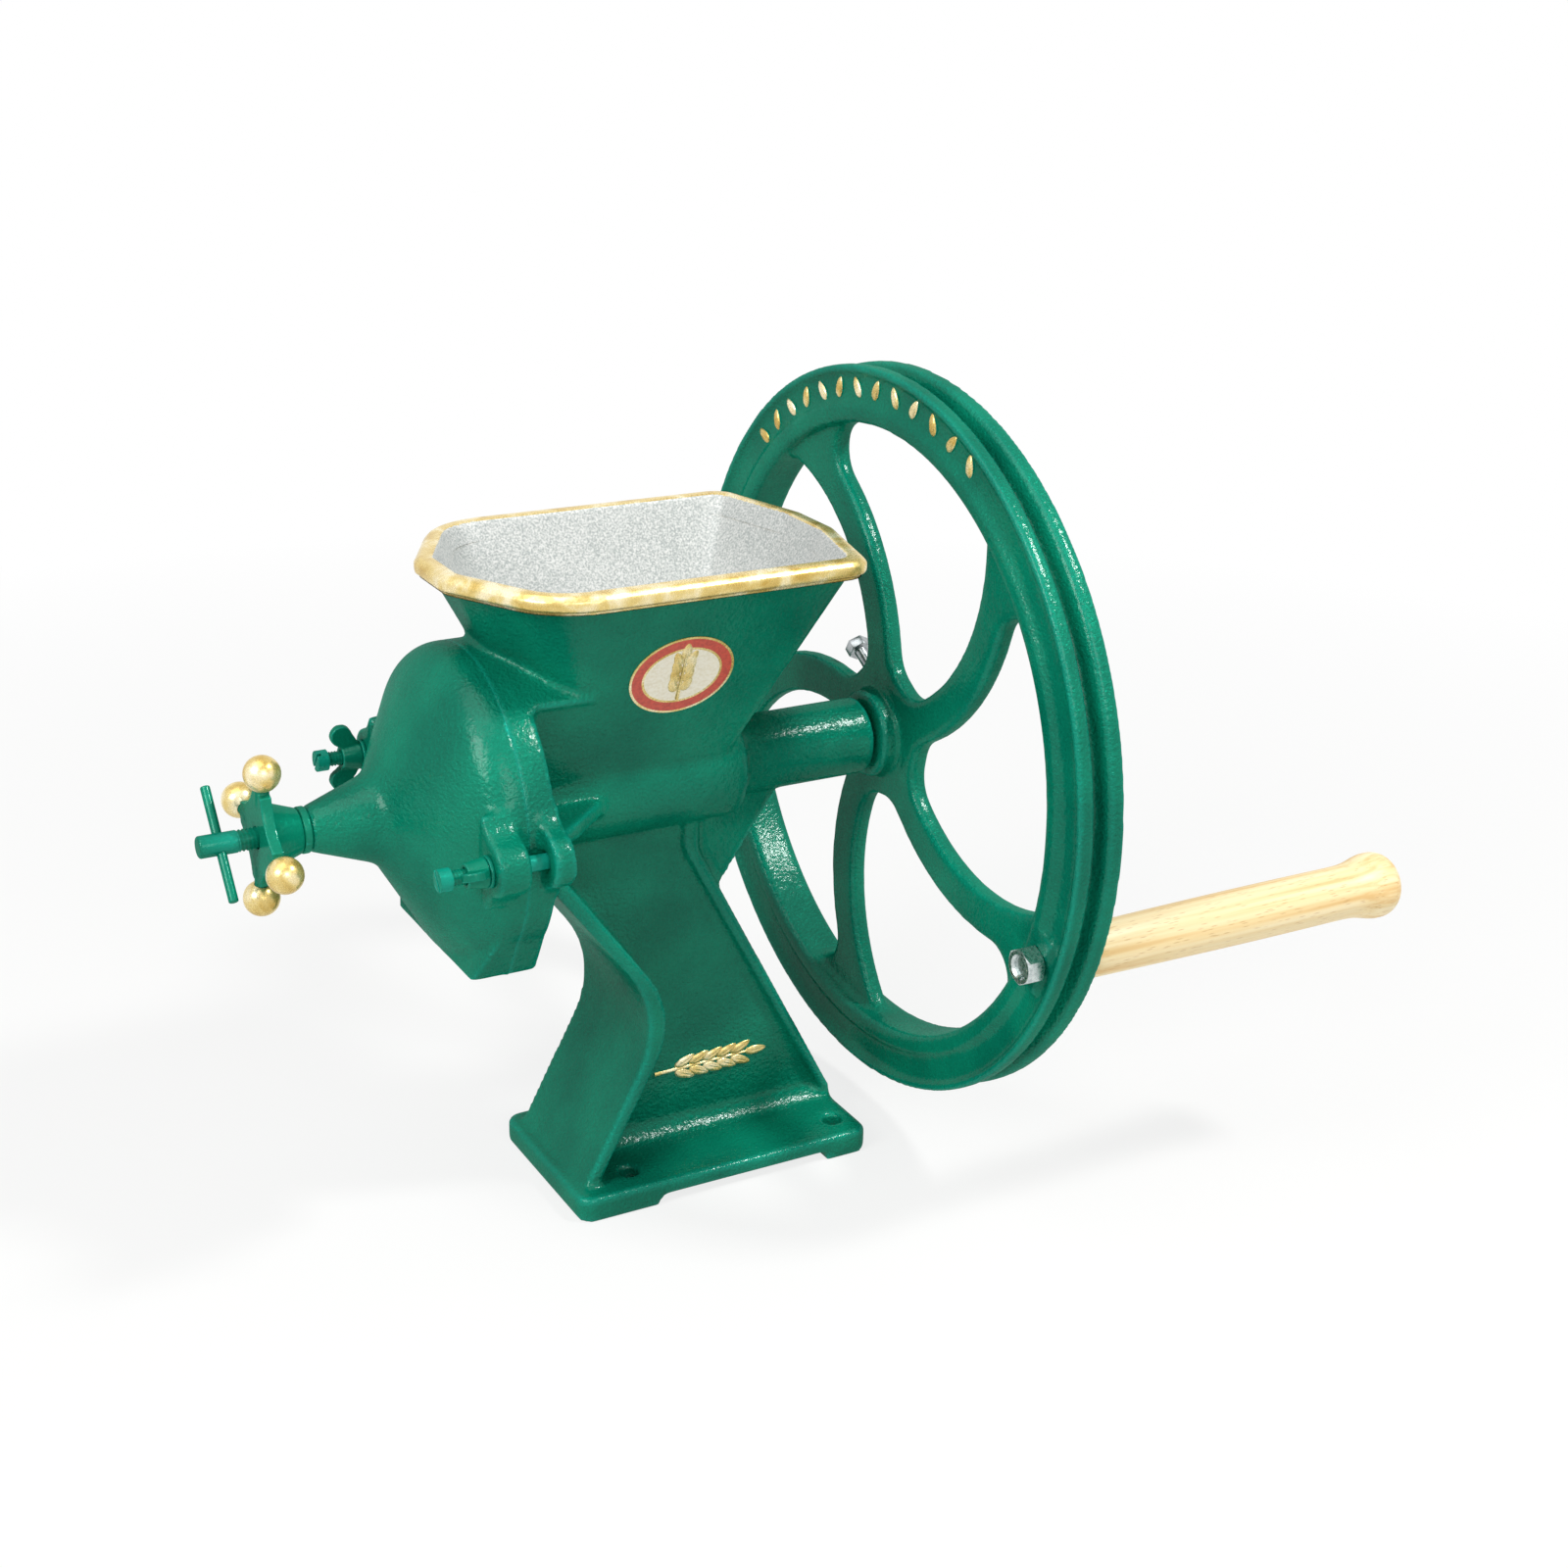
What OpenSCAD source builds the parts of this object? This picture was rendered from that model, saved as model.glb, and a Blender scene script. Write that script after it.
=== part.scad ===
// Hand grain mill with a curved-spoke flywheel, a cast hopper and an adjustable burr chamber.
// The shaft runs along X, from the adjuster at -X to the flywheel at +X. The table is Z = 0.

/* [Stand] */
// Height of the shaft above the table
shaft_h = 257; // [250:1:280]
// Length of the base along the shaft
base_len = 198; // [190:1:220]
// Width of the base
base_wid = 120; // [110:1:150]
// Height of the base plate's top
base_top = 16; // [12:0.5:22]
// Height of the four corner feet
foot_h = 6; // [3:0.5:8]
// Spacing of the base bolts along the shaft
bolt_dx = 142; // [130:1:150]
// Spacing of the base bolts across the shaft
bolt_dy = 76; // [70:1:84]
// Diameter of the base bolt holes
bolt_d = 12; // [8:0.5:14]
// Width of the curved front flange of the stand
front_w = 96; // [80:1:104]
// Width of the raised rear edge of the stand
rear_w = 20; // [16:1:28]
// Thickness of the stand's web
web_t = 10; // [8:0.5:16]

/* [Barrel and hopper] */
// Outside radius of the feed barrel
barrel_r = 34; // [32:0.5:38]
// Bore radius of the feed barrel
feed_r = 26; // [23:0.5:27]
// Outside radius of the bearing tube
tube_r = 23.5; // [21:0.5:26]
// Height of the hopper's rim
hopper_h = 397; // [385:1:420]
// Length over the hopper's rim
rim_len = 245; // [225:1:260]
// Width over the hopper's rim
rim_wid = 180; // [165:1:195]
// Wall thickness of the hopper
hopper_wall = 6.5; // [5:0.5:8]

/* [Grinding chamber] */
// Outside radius of the chamber
chamber_r = 92.5; // [90:0.5:98]
// Wall thickness of the chamber and the cover
chamber_wall = 8; // [6:0.5:10]
// Radius of the grinding burrs
burr_r = 72; // [66:0.5:74]
// Gap between the burrs as set
grind_gap = 1.5; // [1.2:0.1:3]
// Number of ribs on a burr
burr_ribs = 20; // [12:2:28]
// Diameter of the clamp bolts
clamp_d = 9; // [8:0.5:11]

/* [Adjuster] */
// Diameter of the adjusting screw
screw_d = 12.5; // [11:0.5:16]
// Length of the tommy bar
bar_len = 67; // [56:1:80]
// Diameter of the tommy bar
bar_d = 5.4; // [4:0.2:6]
// Radius of the star nut to the ball centres
star_r = 40; // [36:0.5:46]
// Diameter of the star nut's balls
ball_d = 20.5; // [16:0.5:24]

/* [Flywheel and handle] */
// Outside diameter of the flywheel
wheel_d = 450; // [400:1:460]
// Width of the flywheel's rim
wheel_w = 31; // [28:0.5:38]
// Radial depth of the rim
rim_depth = 35; // [32:0.5:40]
// Number of spokes
spoke_n = 5; // [4:1:6]
// Width of a spoke
spoke_w = 26; // [20:0.5:32]
// Thickness of a spoke
spoke_t = 13; // [10:0.5:16]
// Shaft diameter
shaft_d = 20; // [18:0.5:22]
// Length of the wooden grip
grip_len = 226; // [120:1:240]
// Diameter of the wooden grip at its middle
grip_d = 33; // [28:0.5:38]
// Diameter of the handle bolt
handle_d = 12; // [10:0.5:13]

/* [Hidden] */
$fn = 72;
enamel = [0.02, 0.45, 0.34];
gold = [0.86, 0.70, 0.30];
steel = [0.72, 0.73, 0.72];
iron = [0.42, 0.42, 0.41];
bronze = [0.72, 0.52, 0.28];
beech = [0.90, 0.76, 0.52];

// Clearances
run_fit = 0.05;
thread_fit = 0.06;
drill_fit = 0.1;
loose = 0.4;
over = 1;
arc_step = 9;

// Stations along the shaft
base_x = -13;
part_x = base_x - 0.715 * base_len;
flange_t = 17.5;
flange_x = part_x + flange_t;
wall_x = flange_x - 7;
feed_end = -5;
tube_end = 103;
neck_x = part_x - 93;
hub_gap = 2.5;
hub_x = tube_end + hub_gap;
wheel_x = hub_x + 3;
wheel_mid = wheel_x + wheel_w / 2;
hub_end = wheel_mid + spoke_t / 2 + 15;

// Chamber outline and chute
chute_tilt = 29;
chute_inset = 1.2;
chute_drop = 0.905 * chamber_r;
clamp_y = chamber_r + clamp_d / 2 + 1.5;
ear_r = 15.5;
cover_ear_x = part_x - 26;
cover_ear_t = 20;
body_ear_x = part_x + 6;
body_ear_t = 12.5;

// Flywheel
wheel_r = wheel_d / 2;
rim_in = wheel_r - rim_depth;
grip_r = wheel_r - 19;
grip_a = 201.4;
bend_r = 0.612 * wheel_r;
bend_lean = 10.3;
hub_r = 27;

// Bearings and hopper
bush_r = shaft_d / 2 + 3.5;
rim_front = part_x - 0.2 * chamber_r;
bead_h = 11;
hopper_lip = 8;
hopper_rise = hopper_h - hopper_lip - shaft_h;
hopper_foot = barrel_r - 8;

// Burrs and shaft end
burr_screw_r = 3;
stator_face = part_x + 0.4;
rotor_face = stator_face - grind_gap;
burr_t = 8;
plate_t = 6;
shaft_r = shaft_d / 2;
boss_x = rotor_face - burr_t - plate_t - 12;
pin_x = boss_x + 6;
pin_r = 3;
thrust_r = 5;
thrust_x = part_x - 47;
screw_r = screw_d / 2;
screw_end = neck_x - 60.5;
bar_x = screw_end + 12;
bar_a = 50;
star_x = neck_x - 25;
star_a = 11;
stud_r = 4;
lock_gap = 0.2;
collar_t = 4.5;
collar_r = 13.2;
collar_x = neck_x - lock_gap - collar_t;
clamp_washer_t = 2;

// Handle
nut_af = 20;
nut_t = 11;
grip_gap = 0.3;
washer_t = 2.2;
grip_x = wheel_x + wheel_w + washer_t + grip_gap;
grip_sink = 14;

// Set bolt
set_a = 30;
set_r = 4;
set_af = 14;
set_boss = 38;
set_x = wheel_mid + 14;
set_boss_r = hub_end - set_x - 0.5;
set_head = 65;

// Outlines are lists of [x, y, corner radius]; rounded() turns each rounded corner into an arc.
function unit(v) = v / norm(v);
function flat(p) = [p[0], p[1]];
function corner(p, q, s) =
    let (u = unit(flat(p) - flat(q)), v = unit(flat(s) - flat(q)))
    let (half = acos(u * v) / 2, turn = sign(cross(-u, v)))
    let (centre = flat(q) + unit(u + v) * q[2] / sin(half), from = flat(q) + u * q[2] / tan(half) - centre)
    let (start = atan2(from[1], from[0]), sweep = 180 - 2 * half, steps = ceil(sweep / arc_step))
    [for (i = [0 : steps]) centre + q[2] * [cos(start + turn * sweep * i / steps), sin(start + turn * sweep * i / steps)]];
function rounded(pts) =
    let (n = len(pts))
    [for (i = [0 : n - 1]) each pts[i][2] > 0 ? corner(pts[(i + n - 1) % n], pts[i], pts[(i + 1) % n]) : [flat(pts[i])]];

// A rectangle of half sizes a and b, with rounded corners
function plate_outline(a, b, r) = rounded([[-a, -b, r], [a, -b, r], [a, b, r], [-a, b, r]]);

// Extrudes an outline given in Y and Z from station x towards the flywheel
module along_x(x, length) {
    translate([x, 0, shaft_h])
        rotate([90, 0, 90])
            linear_extrude(length)
                children();
}

// Extrudes an outline given in X and Z evenly to both sides of the shaft
module across(width) {
    rotate([90, 0, 0])
        linear_extrude(width, center = true)
            children();
}

// Turns an outline of radius and station about the shaft
module turned() {
    translate([0, 0, shaft_h])
        rotate([0, 90, 0])
            rotate_extrude()
                children();
}

// A plain rod about the shaft line
module rod(x, length, r) {
    translate([x, 0, shaft_h])
        rotate([0, 90, 0])
            cylinder(h = length, r = r);
}

// A hexagon rod along X, given by the width across its flats
module hex_rod(length, flats) {
    rotate([0, 90, 0])
        cylinder(h = length, d = flats / cos(30), $fn = 6);
}

// Where the chute's slanted side leaves the chamber's circle, and where it ends, in Y and Z from the shaft
function chute_touch(r) = (r - chute_inset) * [cos(chute_tilt), -sin(chute_tilt)];
function chute_foot(r, drop) =
    let (touch = chute_touch(r))
    touch - [sin(chute_tilt), cos(chute_tilt)] * (drop + touch[1]) / cos(chute_tilt);

// The chute's slanted sides, in Y and Z from the shaft; below lengthens them under the mouth
module chute_outline(r, below = 0) {
    touch = chute_touch(r);
    foot = chute_foot(r, chute_drop + below);
    polygon([touch, foot, [-foot[0], foot[1]], [-touch[0], touch[1]]]);
}

// The chamber's outline: a circle that runs into the chute and is cut off at its mouth
module chamber_outline(r, below = 0) {
    intersection() {
        union() {
            circle(r);
            chute_outline(r, below);
        }
        translate([-2 * r, -chute_drop - below])
            square([4 * r, 4 * r]);
    }
}

// Lugs on both sides of the chamber, which carry the clamp bolts and run into it with a cove
module ear_outline() {
    cove = 20;
    reach = chamber_r + cove;
    centre_y = (reach ^ 2 - (ear_r + cove) ^ 2 + clamp_y ^ 2) / (2 * clamp_y);
    centre = [centre_y, sqrt(reach ^ 2 - centre_y ^ 2)];
    touch = centre * chamber_r / reach;
    tip = [clamp_y, 0] + (centre - [clamp_y, 0]) * ear_r / (ear_r + cove);
    inner = [0.9 * chamber_r, 0.28 * chamber_r];
    for (far = [0, 1], under = [0, 1])
        mirror([far, 0])
            mirror([0, under]) {
                translate([clamp_y, 0])
                    circle(ear_r);
                difference() {
                    polygon([[inner[0], -1], inner, touch, centre, tip, [clamp_y, -1]]);
                    translate(centre)
                        circle(cove);
                }
            }
}

// The hopper's outline from above: a rectangle with long corner slants, steeper at the front, where they
// run into the sides with a wide radius
function hopper_outline(front, rear, half, r, wide_r) =
    let (run = 0.77 * half, f = front + 0.52 * run, b = rear - 0.25 * run, flank = half - run)
    rounded([[f, -half, wide_r], [b, -half, r], [rear, -flank, r], [rear, flank, r],
        [b, half, r], [f, half, wide_r], [front, flank, r], [front, -flank, r]]);

// Half width of the hopper's outside at a height above the shaft
function hopper_half(up) = hopper_foot + (rim_wid / 2 - hopper_lip - hopper_foot) * up / hopper_rise;

// Hopper walls between the barrel and the rim, grown by margin, from the shaft up to height top
module hopper_block(margin, top) {
    skin = 0.1;
    slope = 0.52;
    up = top - shaft_h;
    front = rim_front + hopper_lip - margin;
    rear = rim_front + rim_len - hopper_lip + margin;
    inset = slope * (hopper_rise - up);
    hull() {
        translate([0, 0, top - skin])
            linear_extrude(skin)
                polygon(hopper_outline(front + inset, rear - inset, hopper_half(up) + margin, 9, 40 + margin));
        translate([0, 0, shaft_h])
            linear_extrude(skin)
                polygon(hopper_outline(front + slope * hopper_rise, rear - slope * hopper_rise,
                    hopper_half(0) + margin, 4, 12 + margin));
    }
}

// The gilded bead round the hopper's mouth
module hopper_bead() {
    soft = 2.5;
    for (inset = [0, soft])
        translate([0, 0, hopper_h - bead_h + soft - inset])
            linear_extrude(bead_h - 2 * soft + 2 * inset)
                polygon(hopper_outline(rim_front + inset, rim_front + rim_len - inset, rim_wid / 2 - inset,
                    16 - inset, 48 - inset));
}

// Stand: a broad curved front flange, a web, and a raised rear edge that bends upright under the barrel.
// The web runs on behind that edge to carry the tube.
module stand() {
    foot = base_top - 4;
    toe = base_x - base_len / 2 + 5;
    heel = base_x + base_len / 2 - 0.5;
    waist = [base_x - 0.19 * base_len, 0.463 * shaft_h];
    waist_r = 62;
    thick = 9.5;
    rear_thick = 9.5;
    crown = shaft_h - 20;
    post = base_x - 7.3;
    bend = 0.8 * shaft_h;
    shift = [thick, 0];
    across(front_w)
        polygon(rounded([[toe, foot, 0], [waist[0], waist[1], waist_r], [flange_x - 3, crown, 0],
            [flange_x - 3 + thick, crown + 4, 0], [waist[0] + thick, waist[1], waist_r - thick], [toe + thick, foot, 0]]));
    across(rear_w)
        polygon(rounded([[heel, foot, 0], [heel, base_top + 6, 0], [post + rear_thick, bend, 14],
            [post + rear_thick, crown, 0], [post, crown, 0], [post, bend, 24], [heel - 2, foot, 0]]));
    across(web_t)
        polygon([[toe + thick / 2, foot], waist + shift / 2, [flange_x - 2, crown], [flange_x - 2, crown + 8],
            [base_x + 62, crown + 3], [base_x + 16, 0.67 * shaft_h], [heel - 1, foot]]);
    web_fillet(toe + 2 * thick, heel - rear_thick);
}

// Fillets where the web meets the base
module web_fillet(from, to) {
    leg = 9;
    side = web_t / 2 - 0.5;
    translate([from, 0, base_top - 0.5])
        rotate([90, 0, 90])
            linear_extrude(to - from)
                polygon([[-side - leg, 0], [side + leg, 0], [side, leg], [-side, leg]]);
}

// Base plate on a foot strip at each end
module base() {
    front_foot = 53;
    rear_foot = 30;
    outline = plate_outline(base_len / 2, base_wid / 2, 10);
    translate([base_x, 0, foot_h])
        linear_extrude(base_top - foot_h)
            polygon(outline);
    translate([base_x, 0, 0])
        intersection() {
            linear_extrude(foot_h + over)
                polygon(outline);
            union() {
                translate([-base_len, -base_wid, -over])
                    cube([base_len / 2 + front_foot, 2 * base_wid, 2 * foot_h]);
                translate([base_len / 2 - rear_foot, -base_wid, -over])
                    cube([base_len, 2 * base_wid, 2 * foot_h]);
            }
        }
}

// Feed barrel, rounded down to the bearing tube
module barrel() {
    shoulder_x = 11;
    turned()
        polygon(rounded([[0, wall_x + 1, 0], [barrel_r, wall_x + 1, 0], [barrel_r, shoulder_x, 4],
            [tube_r, shoulder_x, 3], [tube_r, tube_end, 1.5], [0, tube_end, 0]]));
}

// Rear half of the chamber, with its saddle and cheeks under the hopper, side lugs and gussets
module chamber_back() {
    saddle_len = 53;
    saddle_z = 0.757 * chamber_r;
    cheek_len = 66;
    cheek = 0.4;
    gusset_t = 10;
    gusset_len = 60;
    along_x(part_x, flange_t)
        chamber_outline(chamber_r);
    along_x(part_x + 2, saddle_len)
        intersection() {
            circle(chamber_r);
            translate([-chamber_r, saddle_z])
                square([2 * chamber_r, chamber_r]);
        }
    along_x(part_x + 2, cheek_len)
        polygon([[-hopper_half(0) - cheek, 0], [hopper_half(0) + cheek, 0],
            [hopper_half(saddle_z) + cheek, saddle_z + 1], [-hopper_half(saddle_z) - cheek, saddle_z + 1]]);
    along_x(body_ear_x, body_ear_t)
        ear_outline();
    for (far = [0, 1])
        mirror([0, far, 0])
            translate([flange_x - 1, 0, shaft_h - 0.8 * gusset_t])
                linear_extrude(gusset_t)
                    polygon([[0, barrel_r - 5], [gusset_len, barrel_r - 5], [0, chamber_r - 8]]);
}

// Holes for the clamp bolts, through a lug on each side
module clamp_holes(x, length, r) {
    for (side = [-1, 1])
        translate([0, side * clamp_y, 0])
            rod(x, length, r);
}

// Places children at the three fixing screws of a burr
module at_burr_screws(turn) {
    screw_circle = 0.76 * burr_r;
    for (i = [0 : 2])
        translate([0, screw_circle * cos(turn + 120 * i), screw_circle * sin(turn + 120 * i)])
            children();
}

// Lower part of the casting: base, web and flanges, drilled for four bolts
module stand_casting() {
    color(enamel)
        difference() {
            union() {
                base();
                stand();
            }
            barrel();
            chamber_back();
            for (sx = [-1, 1], sy = [-1, 1])
                translate([sx * bolt_dx / 2, sy * bolt_dy / 2, -over])
                    cylinder(h = base_top + 2 * over, d = bolt_d);
        }
}

// Middle of the casting: feed barrel, bearing tube and the rear half of the grinding chamber
module mill_body() {
    color(enamel)
        difference() {
            union() {
                barrel();
                chamber_back();
            }
            hopper_block(-hopper_wall, hopper_h + over);
            rod(part_x - over, feed_end - part_x + over, feed_r);
            rod(feed_end - over, tube_end - feed_end + 2 * over, bush_r + run_fit);
            along_x(part_x - over, wall_x - part_x + over)
                chamber_outline(chamber_r - chamber_wall, 20);
            clamp_holes(body_ear_x - over, body_ear_t + 2 * over, clamp_d / 2 + run_fit);
            at_burr_screws(90)
                rod(wall_x - over, flange_x - wall_x, burr_screw_r + run_fit);
        }
}

// Upper part of the casting: the hopper's walls, sitting on the barrel and the saddle
module hopper() {
    color(enamel)
        difference() {
            hopper_block(0, hopper_h - bead_h);
            hopper_block(-hopper_wall, hopper_h + over);
            barrel();
            chamber_back();
        }
}

module hopper_rim() {
    color(gold)
        difference() {
            hopper_bead();
            hopper_block(-hopper_wall, hopper_h + over);
        }
}

// Front of the flour chute: a block that swells from the chamber's side to the mouth
module chute_block() {
    skin = 0.1;
    mouth_x = 23;
    root_x = 8;
    touch = chute_touch(chamber_r);
    foot = chute_foot(chamber_r, chute_drop);
    hull() {
        translate([part_x - mouth_x, -foot[0], shaft_h + foot[1]])
            cube([mouth_x, 2 * foot[0], skin]);
        translate([part_x - root_x, -touch[0], shaft_h + touch[1]])
            cube([root_x, 2 * touch[0], skin]);
    }
}

// Front cover: a neck for the adjusting screw, flared to the chamber and the flour chute
module front_cover() {
    neck_r = 12.6;
    flare = [0.281 * chamber_r, part_x - 0.598 * chamber_r];
    shoulder_x = part_x - 0.177 * chamber_r;
    cavity_x = part_x - 50;
    inner_r = chamber_r - chamber_wall;
    reach = 2 * chamber_r;
    color(enamel)
        difference() {
            union() {
                turned()
                    polygon(rounded([[0, neck_x, 0], [neck_r, neck_x, 1], [flare[0], flare[1], 16],
                        [chamber_r, shoulder_x, 24], [chamber_r, part_x, 0], [0, part_x, 0]]));
                chute_block();
                along_x(cover_ear_x, cover_ear_t)
                    ear_outline();
            }
            translate([part_x - reach, -reach, shaft_h - chute_drop - reach])
                cube([2 * reach, 2 * reach, reach]);
            turned()
                polygon([[0, cavity_x], [14, cavity_x], [inner_r, part_x - 9], [inner_r, part_x + over], [0, part_x + over]]);
            along_x(part_x - 10, 10 + over)
                chute_outline(inner_r, 20);
            rod(neck_x - over, cavity_x - neck_x + 2 * over, screw_r + thread_fit);
            clamp_holes(cover_ear_x - over, cover_ear_t + 2 * over, clamp_d / 2 + loose);
        }
}

module bush(x, length) {
    color(bronze)
        difference() {
            rod(x, length, bush_r);
            rod(x - over, length + 2 * over, shaft_r + run_fit);
        }
}

// A burr ring with slanted radial ribs on one face; face is the ribbed station, back the plain one
module burr(face, back, eye, screw_turn) {
    groove_w = 4;
    groove_depth = 2.5;
    slant = 14;
    low = min(face, back);
    color(iron)
        difference() {
            rod(low, abs(back - face), burr_r);
            rod(low - over, abs(back - face) + 2 * over, eye);
            for (i = [0 : burr_ribs - 1])
                translate([face, 0, shaft_h])
                    rotate([360 * i / burr_ribs, 0, 0])
                        translate([0, 0, 0.56 * burr_r])
                            rotate([slant, 0, 0])
                                translate([-groove_depth, -groove_w / 2, 0])
                                    cube([2 * groove_depth, groove_w, burr_r]);
            at_burr_screws(screw_turn)
                rod(low - over, abs(back - face) + 2 * over, burr_screw_r + run_fit);
        }
}

module burr_screws(x, length, turn) {
    color(steel)
        at_burr_screws(turn)
            rod(x, length, burr_screw_r);
}

// Clamp bolt with a slotted cheese head at its free end, so that its wing nut stays on
module clamp_bolt(side) {
    head_x = cover_ear_x - 29;
    head_t = 7;
    slot_w = 1.8;
    slot_depth = 2.6;
    tail = body_ear_x + body_ear_t + 1.5;
    color(steel)
        translate([0, side * clamp_y, 0])
            difference() {
                union() {
                    rod(head_x, head_t, 0.7 * clamp_d);
                    rod(head_x + over, tail - head_x - over, clamp_d / 2);
                }
                translate([head_x, 0, shaft_h])
                    rotate([side * 35, 0, 0])
                        cube([2 * slot_depth, slot_w, 2 * clamp_d], center = true);
            }
}

module clamp_washer(side) {
    color(steel)
        translate([0, side * clamp_y, 0])
            difference() {
                rod(cover_ear_x - clamp_washer_t, clamp_washer_t, clamp_d);
                rod(cover_ear_x - clamp_washer_t - over, clamp_washer_t + 2 * over, clamp_d / 2 + loose);
            }
}

// Wing nut with two rounded wings swept towards its free end
module wing_nut(side, turn) {
    hub_len = 11.5;
    seat = cover_ear_x - clamp_washer_t - lock_gap;
    wing_t = 4.6;
    lobe_r = 6.5;
    color(enamel)
        translate([seat, side * clamp_y, shaft_h])
            rotate([turn, 0, 0])
                difference() {
                    union() {
                        rotate([0, -90, 0])
                            cylinder(h = hub_len, r1 = 0.95 * clamp_d, r2 = 0.75 * clamp_d);
                        for (half = [0, 1])
                            mirror([0, 0, half])
                                across(wing_t)
                                    union() {
                                        translate([-hub_len, 14.5])
                                            circle(lobe_r);
                                        polygon([[-1, 5.5], [-1, 9], [-7, 19.2], [-17.4, 11.6], [-hub_len, 6]]);
                                    }
                    }
                    translate([-hub_len - over, 0, 0])
                        rotate([0, 90, 0])
                            cylinder(h = hub_len + 2 * over, r = clamp_d / 2 + thread_fit);
                }
}

// Shaft from the thrust ball to behind the flywheel, cross drilled for the rotor pin
module main_shaft() {
    nose = thrust_x + 3;
    tail = hub_end + 4;
    color(steel)
        difference() {
            rod(nose, tail - nose, shaft_r);
            translate([thrust_x, 0, shaft_h])
                sphere(thrust_r + lock_gap / 2);
            translate([pin_x, 0, shaft_h])
                cylinder(h = 2 * shaft_d, r = pin_r + run_fit, center = true);
        }
}

// Feed screw: a sleeve on the shaft with a helical flight
module feed_screw() {
    start = part_x + 4;
    length = feed_end - 3 - start;
    sleeve_r = shaft_r + 3;
    flight_r = feed_r - 1.5;
    pitch = 34;
    half_a = 26;
    color(iron)
        difference() {
            union() {
                rod(start, length, sleeve_r);
                translate([start, 0, shaft_h])
                    rotate([0, 90, 0])
                        linear_extrude(length, twist = -360 * length / pitch, slices = ceil(length / pitch * 14), $fn = 8)
                            polygon([for (a = [-half_a : half_a / 2 : half_a]) flight_r * [cos(a), sin(a)],
                                for (a = [half_a : -half_a : -half_a]) (sleeve_r - 2) * [cos(a), sin(a)]]);
            }
            rod(start - over, length + 2 * over, shaft_r + run_fit);
        }
}

// Plate that carries the running burr, pinned to the shaft by its boss
module rotor_plate() {
    back = rotor_face - burr_t;
    boss_r = shaft_r + 8;
    color(iron)
        difference() {
            union() {
                rod(back - plate_t, plate_t, 0.85 * burr_r);
                rod(boss_x, back - boss_x - over, boss_r);
            }
            rod(boss_x - over, back - boss_x + 2 * over, shaft_r + run_fit);
            translate([pin_x, 0, shaft_h])
                cylinder(h = 4 * boss_r, r = pin_r + run_fit, center = true);
            at_burr_screws(30)
                rod(back - plate_t - over, plate_t + 2 * over, burr_screw_r + run_fit);
        }
}

module rotor_pin() {
    color(steel)
        translate([pin_x, 0, shaft_h])
            cylinder(h = 2 * shaft_r + 15, r = pin_r, center = true);
}

module thrust_ball() {
    color(steel)
        translate([thrust_x, 0, shaft_h])
            sphere(thrust_r);
}

// Places children on the flywheel's handle circle
module at_handle() {
    translate([0, grip_r * cos(grip_a), grip_r * sin(grip_a)])
        children();
}

// Rim with a belt groove outside and a sunk panel on each face
module rim() {
    sunk = 4;
    lip = 11;
    edge = 4;
    groove = 11;
    groove_foot = 4.6;
    groove_depth = 11;
    mid = wheel_w / 2;
    section = [[rim_in, 3, 2], [rim_in + 3, 0.5, 2], [rim_in + lip, 0.5, 1.5], [rim_in + lip + 3, sunk, 1],
        [wheel_r - edge - 2, sunk, 1], [wheel_r - edge, 0, 0], [wheel_r, 0, 1.2], [wheel_r, mid - groove / 2, 1],
        [wheel_r - groove_depth, mid - groove_foot / 2, 0]];
    mirrored = [for (i = [len(section) - 1 : -1 : 0]) [section[i][0], wheel_w - section[i][1], section[i][2]]];
    translate([wheel_x, 0, 0])
        turned()
            polygon(rounded(concat(section, mirrored)));
}

// One spoke: a band that bends from the hub to the rim along an arc
module spoke_outline() {
    miss = 4.6;
    steps = 16;
    first = bend_lean + 182;
    last = bend_lean + 92;
    centre = (bend_r + miss) * [cos(bend_lean), sin(bend_lean)];
    band = [for (i = [0 : steps]) first + (last - first) * i / steps];
    polygon([for (a = band) centre + (bend_r + spoke_w / 2) * [cos(a), sin(a)],
        for (i = [steps : -1 : 0]) centre + (bend_r - spoke_w / 2) * [cos(band[i]), sin(band[i])]]);
}

// Spokes, hub web and a ring under the rim, with fillets in every corner
module spider_outline(inset) {
    fillet = 20;
    web_r = 42;
    ring = 5;
    $fn = 40;
    offset(delta = -inset)
        intersection() {
            circle(rim_in + ring);
            offset(r = -fillet)
                offset(delta = fillet)
                    union() {
                        circle(web_r);
                        for (i = [0 : spoke_n - 1])
                            rotate(360 * i / spoke_n)
                                spoke_outline();
                        difference() {
                            circle(rim_in + 6 * ring);
                            circle(rim_in + 1);
                        }
                    }
        }
}

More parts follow.
